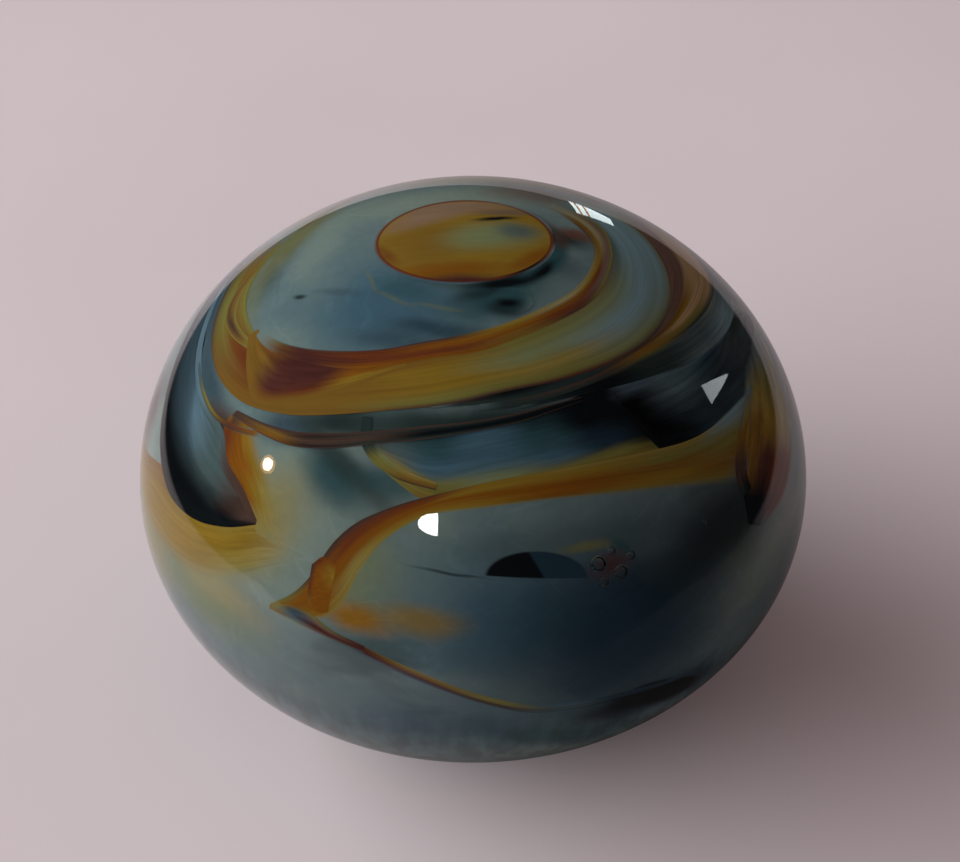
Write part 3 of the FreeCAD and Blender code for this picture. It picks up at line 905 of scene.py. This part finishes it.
# ---- how each strip is coloured
# At places along a strip (0 to 1), the colours across it, from its second edge (0) to its first (1).
# A colour also holds before the first stop and after the last.
LOOKS = {
    "inner_ribbon": dict(soft=(0, 0.1, 0.1, 0.08), wobble=0.06, stations={
        0: {0.5: PALE_GOLD, 1: YELLOW},
        0.12: {0: OLIVE, 0.25: MAUVE, 0.5: PALE_GOLD, 0.75: OCHRE, 1: UMBER},
        0.27: {0: OLIVE, 0.25: MAUVE, 0.5: RED_BROWN, 0.7: GOLD, 1: PALE_GOLD},
        0.39: {0: UMBER, 0.3: RED_BROWN, 0.55: ORANGE, 0.8: PALE_GOLD},
        0.5: {0.25: OCHRE, 0.5: ORANGE, 0.75: GOLD, 1: YELLOW},
        0.62: {0: ORANGE, 0.3: RED_BROWN, 0.7: ORANGE, 0.92: UMBER},
        0.74: {0: ORANGE, 0.4: RED_BROWN, 0.75: RED_BROWN, 1: PLUM},
        0.87: {0.7: PLUM, 0.95: UMBER},
        1: {0.6: OCHRE, 1: OLIVE},
    }),
    "plum_patch": dict(soft=(0.3, 0, 0.12, 0), melt=OCHRE, wobble=0.22, fine=9, stations={
        0: {0.7: OCHRE, 1: UMBER},
        0.16: {0.6: OCHRE, 1: RED_BROWN},
        0.38: {0: RED_BROWN, 0.35: PLUM},
        0.58: {0: OCHRE, 0.25: RED_BROWN, 0.55: PLUM},
        0.76: {0.25: GOLD, 0.5: ORANGE, 0.8: RED_BROWN},
        1: {0: GOLD, 0.35: OCHRE, 0.6: ORANGE, 1: RED_BROWN},
    }),
    "hook_thread": dict(soft=(0.2, 0.35, 0.25, 0.15), melt=OLIVE, wobble=0.06, stations={
        0: {0: OCHRE, 1: OLIVE},
        0.5: {0: UMBER, 0.6: OCHRE, 1: MAUVE},
        0.7: {0: OCHRE, 0.5: UMBER, 1: OCHRE},
        1: {0.5: OCHRE, 1: YELLOW},
    }),
    "olive_band": dict(soft=(0, 0, 0.1, 0.05), streak=0.1, wobble=0.06, stations={
        0: {0: UMBER, 0.5: OCHRE},
        0.14: {0: UMBER, 0.3: OLIVE, 0.6: OCHRE, 1: OLIVE},
        0.28: {0: OCHRE, 0.5: RED_BROWN, 0.8: RED_BROWN, 1: OLIVE},
        0.38: {0.6: OCHRE, 0.85: RED_BROWN},
        0.5: {0: UMBER, 0.1: OLIVE, 0.3: GOLD, 0.6: GOLD, 0.8: OCHRE, 1: RED_BROWN},
        0.62: {0: PLUM, 0.12: OLIVE, 0.3: YELLOW, 0.55: OLIVE_TEAL, 0.8: OLIVE, 1: OCHRE},
        0.74: {0: UMBER, 0.12: OLIVE_TEAL, 0.4: AQUA, 0.75: OLIVE_TEAL, 1: OCHRE},
        0.88: {0: OLIVE, 0.12: AQUA, 0.6: AQUA, 0.85: GREY_TEAL, 1: OCHRE},
        1: {0: OLIVE_TEAL, 0.3: AQUA, 1: TEAL},
    }),
    "umber_ribbon": dict(soft=(0, 0, 0.05, 0.15), wobble=0.06, stations={
        0: {0: DARK_TEAL, 0.5: UMBER, 0.8: OLIVE},
        0.16: {0: DARK_TEAL, 0.55: BLACK, 0.85: OLIVE},
        0.3: {0.5: DARK_TEAL, 0.9: UMBER},
        0.42: {0: OCHRE, 0.2: UMBER, 0.7: TAUPE, 1: UMBER},
        0.6: {0: GOLD, 0.25: OCHRE, 0.4: TAUPE, 0.85: TAUPE, 1: UMBER},
        0.78: {0.2: TAN, 0.4: TAUPE, 0.85: TAUPE, 1: OLIVE},
        1: {0: OLIVE_TEAL, 0.5: TAUPE, 1: OLIVE},
    }),
    "ochre_thread": dict(soft=(0, 0, 0.05, 0.18), wobble=0.06, stations={
        0: {0: DARK_TEAL},
        0.24: {0: DARK_TEAL, 0.5: UMBER, 1: DARK_TEAL},
        0.38: {0.4: OCHRE, 0.8: UMBER},
        0.55: {0: DARK_TEAL, 0.25: OLIVE, 0.5: TAN, 1: TAUPE},
        0.72: {0: GREY_TEAL, 0.25: TAN, 0.6: TAN, 1: TAUPE},
        1: {0: OLIVE_TEAL, 0.5: TAN},
    }),
    # From 0.65 along, its grey-teal and aqua streaks are painted reflection streaks; the rest is the glass's
    # own colour.
    "smoke_wisp": dict(soft=(0, 0, 0.05, 0.15), streak=0.25, wobble=0.12, stations={
        0: {0: DARK_TEAL, 0.6: BLACK, 1: DARK_TEAL},
        0.25: {0.5: BLACK, 1: UMBER},
        0.45: {0.6: DARK_TEAL, 0.85: OLIVE, 1: OCHRE},
        0.65: {0: TEAL, 0.4: GREY_TEAL, 0.9: GREY_TEAL, 1: YELLOW},
        0.85: {0.3: AQUA, 0.6: TEAL, 0.8: OLIVE_TEAL, 1: PALE_GOLD},
        1: {0: AQUA, 0.5: TEAL, 1: PALE_GOLD},
    }),
    "brown_thread": dict(soft=(0.15, 0.3, 0, 0), melt=UMBER, wobble=0.06, stations={
        0: {0: UMBER},
        0.14: {0: ORANGE, 0.5: OCHRE, 1: UMBER},
        0.26: {0: BLACK, 0.4: UMBER, 1: BLACK},
        0.42: {0: DARK_TEAL, 0.5: UMBER, 1: DARK_TEAL},
        0.6: {0: DARK_TEAL, 0.4: BLACK, 1: DARK_TEAL},
        1: {0: BLACK},
    }),
    "orange_drop": dict(streak=0.1, stations={
        0: {0: OCHRE, 0.4: RED_BROWN, 1: UMBER},
        0.35: {0.7: ORANGE, 1: RED_BROWN},
        1: {0.4: ORANGE, 0.8: GOLD, 1: ORANGE},
    }),
    "nose_tip": dict(soft=(0.1, 0, 0, 0), wobble=0.06, stations={
        0: {0: OCHRE, 1: OLIVE},
        0.25: {0: OLIVE_TEAL, 0.3: SLATE, 0.7: SLATE, 1: OCHRE},
        0.5: {0: MAUVE, 0.4: PLUM, 0.7: MAUVE, 1: OLIVE},
        1: {0: GREY_TEAL, 0.4: PLUM},
    }),
    "lower_thread": dict(soft=(0.06, 0.15, 0, 0.15), wobble=0.06, stations={
        0: {0: BLUE, 0.4: PLUM, 0.8: PLUM, 1: OCHRE},
        0.2: {0: BLUE, 0.35: PLUM, 0.65: OCHRE, 1: YELLOW},
        0.4: {0: DEEP_TEAL, 0.25: UMBER, 0.6: OLIVE},
        0.6: {0: DEEP_TEAL, 0.3: GREY_TEAL, 1: BLUE},
        0.8: {0: BLACK, 0.5: NAVY},
        1: {0: NAVY},
    }),
    "fold_thread": dict(streak=0.3, fine=8, stations={
        0: {0: TEAL},
        0.3: {0: GOLD, 0.5: OLIVE, 1: TEAL},
        0.5: {0: GOLD, 0.4: OCHRE},
        0.8: {0: UMBER},
        1: {0: BLACK, 1: DARK_TEAL},
    }),
    "amber_band": dict(soft=(0.14, 0, 0, 0), streak=0.1, wobble=0.08, stations={
        0: {0: OLIVE, 0.5: OCHRE, 1: OLIVE},
        0.1: {0: GOLD, 0.4: ORANGE, 0.75: ORANGE, 1: UMBER},
        0.2: {0.3: YELLOW, 0.55: ORANGE, 0.8: RED_BROWN, 1: UMBER},
        0.32: {0: OLIVE_TEAL, 0.25: GOLD, 0.6: ORANGE, 0.9: RED_BROWN, 1: UMBER},
        0.42: {0: OLIVE_TEAL, 0.2: GOLD, 0.55: ORANGE, 0.8: GOLD},
        0.6: {0: OLIVE, 0.25: ORANGE, 0.5: ORANGE, 0.75: GOLD, 1: YELLOW},
        0.8: {0: OLIVE, 0.3: GOLD, 0.5: OCHRE, 0.75: OLIVE, 1: YELLOW},
        0.92: {0: OLIVE, 0.3: OCHRE, 0.6: OLIVE, 1: AQUA},
        1: {0: GREY_TEAL, 0.5: OCHRE, 1: TEAL},
    }),
    "pocket_thread": dict(stations={
        0.25: {0: DARK_TEAL},
        0.45: {0.5: OLIVE, 1: OLIVE_TEAL},
        0.75: {0: UMBER, 0.3: OCHRE, 1: YELLOW},
        1: {0: UMBER, 0.4: OCHRE, 1: YELLOW},
    }),
    "left_thread": dict(soft=(0.2, 0.3, 0.3, 0.1), stations={
        0: {0: GREY_TEAL},
        0.4: {0: UMBER, 0.6: OLIVE, 1: UMBER},
        0.7: {0: UMBER, 1: RED_BROWN},
        1: {0: OCHRE, 1: ORANGE},
    }),
    "right_fold": dict(soft=(0.12, 0, 0, 0), streak=0.3, fine=9, stations={
        0: {0: AQUA, 0.4: TEAL, 1: GREY_TEAL},
        0.25: {0: OLIVE_TEAL, 0.4: OLIVE, 0.75: YELLOW, 1: OLIVE_TEAL},
        0.45: {0.3: YELLOW, 0.6: GOLD, 0.85: OCHRE},
        0.65: {0.35: RED_BROWN, 0.6: PLUM, 0.85: OCHRE},
        0.85: {0: RED_BROWN, 0.3: PLUM, 0.6: BLACK},
        1: {0: GREY_TEAL, 0.5: BLACK},
    }),
    "foot_streak": dict(soft=(0.35, 0.08, 0.25, 0.15), stations={0: {0: NAVY, 0.3: BLACK}}),
    "back_umber_thread": dict(soft=(0.2, 0.2, 0.05, 0.1), stations={
        0: {0: OCHRE, 1: RED_BROWN},
        1: {0: OCHRE, 1: UMBER},
    }),
    "back_ochre_band": dict(soft=(0.3, 0.08, 0.1, 0.15), stations={
        0: {0: OLIVE_TEAL, 0.5: OCHRE, 1: UMBER},
        0.3: {0: YELLOW, 0.4: GOLD, 0.8: ORANGE, 1: UMBER},
        0.7: {0: OLIVE_TEAL, 0.4: YELLOW, 0.8: OCHRE, 1: RED_BROWN},
        1: {0: OLIVE_TEAL, 1: OCHRE},
    }),
    # The windows' black, along their edges and at their ends, is painted shade cast by their lips, over the
    # shade that their depth gives.
    "left_window": dict(streak=0.1, wobble=0.06, stations={
        0: {0: BLACK},
        0.22: {0.15: BLACK, 0.4: DEEP_BLUE},
        0.42: {0.15: BLACK, 0.4: DEEP_BLUE},
        0.55: {0.15: BLACK, 0.35: DEEP_BLUE},
        0.72: {0.15: BLACK, 0.35: GREY_TEAL},
        0.88: {0.18: BLACK, 0.4: UMBER},
        1: {0: BLACK, 0.5: UMBER},
    }),
    "right_window": dict(streak=0.25, wobble=0.14, stations={
        0: {0: BLACK},
        0.12: {0.6: BLACK, 0.8: DEEP_BLUE},
        0.35: {0: NAVY, 0.3: SLATE, 0.7: AQUA, 1: DARK_TEAL},
        0.6: {0.4: SLATE, 0.7: BLUE, 1: SLATE},
        0.85: {0: DARK_TEAL, 0.4: TEAL, 0.75: AQUA},
        1: {0: DARK_TEAL, 0.5: TEAL, 1: AQUA},
    }),
    "back_window": dict(stations={
        0: {0: BLACK},
        0.5: {0: BLACK, 0.4: NAVY, 0.8: DEEP_TEAL, 1: BLACK},
        1: {0: BLACK, 1: DARK_TEAL},
    }),
    "blue_pocket": dict(soft=(0, 0, 0.08, 0), streak=0.12, wobble=0.08, stations={
        0: {0: OCHRE, 0.3: UMBER, 1: DARK_TEAL},
        0.12: {0: OLIVE, 0.25: YELLOW, 0.6: GREY_TEAL, 1: DARK_TEAL},
        0.28: {0: OCHRE, 0.2: OLIVE, 0.45: BLUE, 0.75: DEEP_TEAL, 1: BLACK},
        0.45: {0: GOLD, 0.15: OLIVE_TEAL, 0.45: BLUE, 0.8: BLUE, 1: NAVY},
        0.66: {0: GOLD, 0.12: OLIVE, 0.3: BLUE, 0.6: DEEP_TEAL, 1: BLACK},
        0.84: {0: GOLD, 0.12: OLIVE, 0.3: NAVY, 0.7: BLACK},
        1: {0: OLIVE, 0.2: BLACK},
    }),
    "left_hook": dict(soft=(0.35, 0, 0.05, 0.3), streak=0.12, wobble=0.08, stations={
        0: {0: OLIVE, 0.4: OCHRE, 0.8: UMBER, 1: OCHRE},
        0.2: {0.3: GOLD, 0.55: ORANGE, 0.9: RED_BROWN},
        0.4: {0.3: GOLD, 0.55: ORANGE, 0.8: ORANGE, 1: RED_BROWN},
        0.65: {0.3: YELLOW, 0.55: GOLD, 0.8: ORANGE},
        1: {0: PALE_GOLD, 0.5: YELLOW},
    }),
    "yellow_crescent": dict(soft=(0.35, 0, 0.1, 0.12), streak=0.16, wobble=0.08, stations={
        0: {0: OCHRE},
        0.2: {0: YELLOW, 0.4: GOLD, 1: OCHRE},
        0.4: {0: YELLOW, 0.25: GOLD, 0.6: GOLD, 0.9: OCHRE},
        0.6: {0: YELLOW, 0.25: GOLD},
        0.8: {0: OLIVE_TEAL, 0.3: YELLOW, 0.6: GOLD, 1: YELLOW},
        1: {0: PALE_TEAL, 0.5: PALE_GOLD},
    }),
    "back_amber_wave": dict(soft=(0.35, 0.05, 0.1, 0.15), stations={
        0: {0: OLIVE_TEAL, 1: OCHRE},
        0.3: {0: YELLOW, 0.5: GOLD, 0.9: ORANGE, 1: UMBER},
        0.7: {0: OLIVE_TEAL, 0.5: YELLOW, 0.9: GOLD, 1: RED_BROWN},
        1: {0: YELLOW, 1: OCHRE},
    }),
    "back_thread": dict(soft=(0.3, 0.3, 0.15, 0.15), stations={
        0: {0: OCHRE, 1: GOLD},
        1: {0: UMBER, 1: OCHRE},
    }),
}


# ---- the pieces
def settle(piece, node, *materials):
    """Gives a piece its materials and its place in the frame, where it stands for a CAD node."""
    for material in materials:
        piece.data.materials.append(material)
    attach(piece, "root")
    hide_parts(node)


def add_strips(group, levels):
    for number, (node, edges) in enumerate({**STRIPS, **WINDOWS, **UNDERLAYS}.items()):
        look = LOOKS[node]
        flush = (0, 0) if "melt" in look else look.get("soft", (0, 0))[:2]
        piece = strip(node + "_glass", edges, levels[node], node in WINDOWS, node in UNDERLAYS, flush)
        settle(piece, node, band_material(node, group, seed=number * 7, **look))


def add_eye(group, levels):
    """The amber eye at the top, its fine dark rim, the shadow it sits in and the dark drop beside it."""
    eye = [
        (on_top(-5.5, 2), (8, 8), OCHRE, 0.7),
        (on_top(2, 3.4, 12), (8, 4.2), OLIVE_TEAL, 1.0),
        (on_top(5.0, 4.5), (3.6, 2.6), GREY_TEAL, 0.8),
        # Painted reflection: the two dusky mauve patches here and the mauve one at the eye's top right are
        # the haze of the bright room mirrored along its top.
        (on_top(-4.5, 8.0, 20), (9, 2.8), PAINTED_HAZE, 1.0),
        (on_top(-3, 10), (12, 2.4), PAINTED_HAZE, 1.0),
        (on_top(-3, -3.0, 3), (10, 2.2), ORANGE, 0.9),
        (on_top(6.5, -0.5, 45), (6, 1.6), ORANGE, 0.9),
        (on_top(-9.6, 1.2, -60), (4.4, 1.1), RED_BROWN, 0.6),
        (on_top(-1, -5.0), (10, 1.9), PLUM, 1.0),
        (on_top(2.6, 7.0, 12), (3.8, 0.7), BLACK, 1.0),
        (on_top(3.5, 8.6, 8), (5, 1.2), MAUVE, 0.8),
    ]
    add_disc("eye_lens", EYE_CENTRE, EYE_HALVES, levels, patched_material("eye_amber", GOLD, eye, 0.8))
    rim = [
        (on_top(-2, -6), (12, 3.4), PLUM, 1.0),
        (on_top(7, -2.6), (5, 4), BLACK, 0.9),
        (on_top(-2, 12), (14, 3), RED_BROWN, 0.8),
        # Painted reflection: the mauve at the rim's top right carries on the haze along the eye's top.
        (on_top(5, 11.5), (6, 3), MAUVE, 0.9),
    ]
    rim_halves = tuple(half + RIM_WIDTH for half in EYE_HALVES)
    rim_glass = patched_material("eye_rim", RED_BROWN, rim, 0.5, group=group, melt_from=0.95)
    add_disc("eye_rim", EYE_CENTRE, rim_halves, levels, rim_glass)
    shadow = [
        (on_top(-4, -5.6), (7, 1.6), GREY_TEAL, 0.8),
        (on_top(3.6, -4.9, 12), (7, 1.5), BLACK, 1.0),
        (on_top(7.6, -2.4, 48), (4, 1.2), BLACK, 1.0),
        (on_top(9.6, -1.0, 60), (3.0, 1.2), DEEP_TEAL, 0.8),
        (on_top(10.2, 4.2), (3.4, 3.4), UMBER, 1.0),
        (on_top(10, 8), (4, 3), MAUVE, 0.9),
    ]
    shadow_glass = patched_material("eye_shadow", DEEP_TEAL, shadow, 1.0, group=group, melt_from=0.86)
    add_spot("eye_shadow", levels, shadow_glass)
    drop = [(on_top(3.6, -8.0, 8), (2.6, 1.3), BLACK, 1.0)]
    drop_glass = patched_material("teal_drop", DEEP_TEAL, drop, 1.0, group=group, melt_from=0.3)
    add_spot("teal_drop", levels, drop_glass)


def add_spot(node, levels, material):
    x, y, half_width, half_depth = TOP_SPOTS[node]
    add_disc(node, (x * MM, y * MM), (half_width * MM, half_depth * MM), levels, material, flush=True)


def add_disc(node, centre, halves, levels, material, flush=False):
    settle(disc(node + "_glass", centre, halves, levels[node], flush), node, material)


def add_ground(group):
    """The opal layer: a shell, open at the foot, drawn in behind the windows."""
    outer = dome_profile(COLOUR_FORM, FOOT_GAP)
    inner = dome_profile(INNER_FORM, FOOT_GAP)
    points, faces = lathe(outer + inner[::-1])
    piece = add_object("opal_ground_glass", sink_windows(points), faces)
    turn_outwards(piece)
    settle(piece, "opal_ground", ground_material(group))


def add_core():
    """The solid inside, hollowed under the foot and drawn in behind the windows."""
    hollow = hollow_profile(FOOT_GAP)
    points, faces = lathe(dome_profile(CORE_FORM, FOOT_GAP) + hollow)
    piece = add_object("core_gather_glass", sink_windows(points), faces)
    turn_outwards(piece)
    settle(piece, "core_gather", core_material())


def ball(longitude, latitude, distance, radius, rows=16, around=24):
    """Points and faces of a bubble, facing inwards."""
    turn = np.linspace(0, math.pi, rows)
    centre = direction(longitude, latitude) * distance + MIDDLE
    points, faces = lathe([(radius * math.sin(t), radius * math.cos(t)) for t in turn], around)
    return points + centre, [face[::-1] for face in faces]


def add_casing():
    """The clear glass: one lump round everything else, with its bubbles and its ground foot."""
    profile = rounded_foot(dome_profile(OUTER_FORM, 0)) + hollow_profile(0)
    points, faces = lathe(profile)
    for longitude, latitude, distance, radius in BUBBLES:
        more_points, more_faces = ball(longitude, latitude, distance * MM, radius * MM)
        faces += [[corner + len(points) for corner in face] for face in more_faces]
        points = np.vstack([points, more_points])
    piece = add_object("clear_casing_glass", points, faces, smooth_angle=12)
    turn_outwards(piece)
    settle(piece, "clear_casing", casing_material(), ground_foot_material())
    for face in piece.data.polygons:
        if face.center.z < HOLLOW_DEPTH + FOOT_GAP and face.normal.z < FOOT_FACING:
            face.material_index = 1


# ---- floor, light and camera, lengths in metres
FLOOR_HALF = 1.5
# Where the painted light of the mirrored tabletop begins and ends, each as the place it is 0 and the place it
# is 1; outside it, what the glass mirrors is painted dark.
LIT_LEFT = (-0.172, -0.152)
LIT_RIGHT = (0.175, 0.150)
LIT_FRONT = (-0.108, -0.092)
# Where painted shade dims it to the right, and where that eases off behind.
DIM_RIGHT = (-0.05, 0.02)
DIM_BACK = (0.02, -0.02)
# Directions from the dome, as azimuth and elevation in degrees, and distances.
WINDOW_LIGHT = (-100, 29, 2.0)
LAMP = (-83.6, 25.6)
CARD_DISTANCE = 0.9
GLOW_DISTANCE = 0.95
LENS = 86.7
SENSOR = 36.0
CAMERA_PLACE = (0.0, -0.21449, 0.20398)
CAMERA_TARGET = (0.00085, 0.00306, 0.02764)
DOME_MIDDLE = Vector(MIDDLE)


def add_floor():
    """The pale tabletop. For rays that the glass mirrors, its colour holds painted light and shade: lit only
    inside a rectangle, dark outside it, and dimmer to the right and in front.
    """
    material, graph, output = new_material("tabletop")
    position = graph.place("Object")
    cloud = graph.noise(position, 9.0, 3.0).outputs[0]
    colour = graph.ramp(cloud, {0.3: (0.74, 0.655, 0.665), 0.7: (0.78, 0.69, 0.70)})
    x, y, _ = graph.separate(position)
    slanted = graph.math("SUBTRACT", x, graph.product(y, 0.33))
    lit = graph.step(slanted, *LIT_LEFT)
    lit = graph.product(lit, graph.step(x, *LIT_RIGHT))
    lit = graph.product(lit, graph.step(y, *LIT_FRONT))
    dimmer = graph.product(graph.step(x, *DIM_RIGHT), 0.9)
    front = graph.math("ADD", 0.5, graph.product(graph.step(y, *DIM_BACK), 0.5))
    dimmer = graph.product(dimmer, front)
    lit = graph.product(lit, graph.rest(dimmer))
    # Painted shade, for glossy rays only: the mirrored tabletop is dark outside the lit rectangle and dimmer
    # to the right front.
    shaded = graph.mix(lit, (0.02, 0.02, 0.02), colour)
    colour = graph.mix(graph.ray("Is Glossy Ray"), colour, shaded)
    shader = graph.add("BsdfPrincipled", {"Base Color": colour, "Roughness": 0.7, "Specular IOR Level": 0.2})
    graph.put(output.inputs["Surface"], shader.outputs[0])
    corners = np.array([[-1, -1, 0], [1, -1, 0], [1, 1, 0], [-1, 1, 0]]) * FLOOR_HALF
    floor = add_object("tabletop", corners, [[0, 1, 2, 3]])
    floor.data.materials.append(material)


def towards(azimuth, elevation, distance):
    """A point at a distance from the dome's top half, in a direction: azimuth 0 is -Y, 90 is +X."""
    return Vector(direction(azimuth, elevation) * distance) + DOME_MIDDLE


def aim(thing, target):
    thing.rotation_euler = (target - thing.location).to_track_quat("-Z", "Y").to_euler()


def add_window_light():
    """Daylight from a long window on the left, low and out of the glass's reflections."""
    data = bpy.data.lights.new("window_light", "AREA")
    data.shape = "ELLIPSE"
    data.size = 4.2
    data.size_y = 1.1
    data.energy = 64.0
    data.color = (0.97, 0.985, 1.01)
    light = bpy.data.objects.new("window_light", data)
    bpy.context.scene.collection.objects.link(light)
    light.location = towards(*WINDOW_LIGHT)
    aim(light, DOME_MIDDLE)
    light.visible_glossy = False
    light.visible_camera = False
    light.visible_transmission = False


def add_reflected_card(name, azimuth, elevation, outline, colour, strength, distance=CARD_DISTANCE):
    """A bright flat shape that is seen only where the glass mirrors it. Its outline is in degrees of view."""
    width = distance * math.radians(1)
    corners = np.array([[x * width, y * width, 0] for x, y in outline])
    card = add_object(name, corners, [list(range(len(corners)))])
    card.location = towards(azimuth, elevation, distance)
    aim(card, DOME_MIDDLE)
    material, graph, output = new_material(name)
    shader = graph.add("Emission", {"Color": colour, "Strength": strength})
    graph.put(output.inputs["Surface"], shader.outputs[0])
    card.data.materials.append(material)
    for ray in ("camera", "diffuse", "shadow", "transmission", "volume_scatter"):
        setattr(card, "visible_" + ray, False)


def arc(half_width, half_height, start, end, steps=24):
    """Points of an elliptical arc between two angles in degrees."""
    turn = np.radians(np.linspace(start, end, steps))
    return [(half_width * math.cos(t), half_height * math.sin(t)) for t in turn]


def add_world():
    """A dim pinkish-grey room, brighter on the left than on the right."""
    world = bpy.data.worlds.new("room")
    world.use_nodes = True
    world.node_tree.nodes.clear()
    graph = Graph(world.node_tree)
    sideways = graph.step(graph.separate(graph.place("Generated"))[0], 0.9, -0.9)
    colour = graph.mix(sideways, (0.20, 0.15, 0.15), (0.27, 0.235, 0.24))
    strength = graph.rest(graph.product(graph.ray("Is Glossy Ray"), 0.92))
    background = graph.add("Background", {"Color": colour, "Strength": strength})
    output = graph.add("OutputWorld")
    graph.put(output.inputs["Surface"], background.outputs[0])
    bpy.context.scene.world = world


def add_far_window(posts):
    """The window behind, as panes and wooden posts by turns between shares of its width."""
    top, foot = np.array([(4.5, -4.8), (-1.6, -1.9)]), np.array([(1.0, 4.5), (-3.7, 2.4)])
    pane, post = ((0.9, 1.0, 1.0), 3.5), ((0.9, 0.35, 0.08), 1.5)
    for number, (start, end) in enumerate(zip(posts, posts[1:])):
        outline = [top[0] + (top[1] - top[0]) * share for share in (start, end)]
        outline += [foot[0] + (foot[1] - foot[0]) * share for share in (end, start)]
        colour, strength = post if number % 2 else pane
        add_reflected_card(f"far_window_{number}", 165.6, 2.3, outline, colour, strength)


def add_lights():
    """The daylight, and the bright things of a room that the glass mirrors: lamps and windows."""
    add_window_light()
    add_reflected_card("lamp_shade", -13.8, 39.5, arc(6.1, 4.1, 95, 275), (1.0, 0.98, 0.96), 30)
    add_reflected_card("lamp_shine", *LAMP, arc(2.0, 2.0, 0, 345), (1.0, 0.9, 0.7), 30)
    add_reflected_card("lamp_glow", *LAMP, arc(2.9, 2.9, 0, 345), (1.0, 0.45, 0.1), 6, GLOW_DISTANCE)
    add_far_window([0, 0.10, 0.16, 0.30, 0.36, 1])
    triangle = [(7.6, -7.0), (-1.7, 5.3), (-5.7, 1.8)]
    add_reflected_card("side_window", 115.2, 17.9, triangle, (0.9, 0.98, 1.0), 3.5)


def add_camera():
    """The camera, looking down on the dome from the front."""
    data = bpy.data.cameras.new("camera")
    data.lens = LENS
    data.sensor_width = SENSOR
    data.clip_start = 0.01
    camera = bpy.data.objects.new("camera", data)
    bpy.context.scene.collection.objects.link(camera)
    camera.location = CAMERA_PLACE
    aim(camera, Vector(CAMERA_TARGET))
    bpy.context.scene.camera = camera
    bpy.context.scene.view_settings.view_transform = "Standard"


def main():
    add_camera()
    order = ["eye_lens", "eye_rim", *TOP_SPOTS, *STRIPS, *WINDOWS, *UNDERLAYS]
    levels = {node: LAYER_STEP * (len(order) - rank) for rank, node in enumerate(order)}
    group = ground_group()
    add_ground(group)
    add_core()
    add_strips(group, levels)
    add_eye(group, levels)
    add_casing()
    add_floor()
    add_world()
    add_lights()


main()
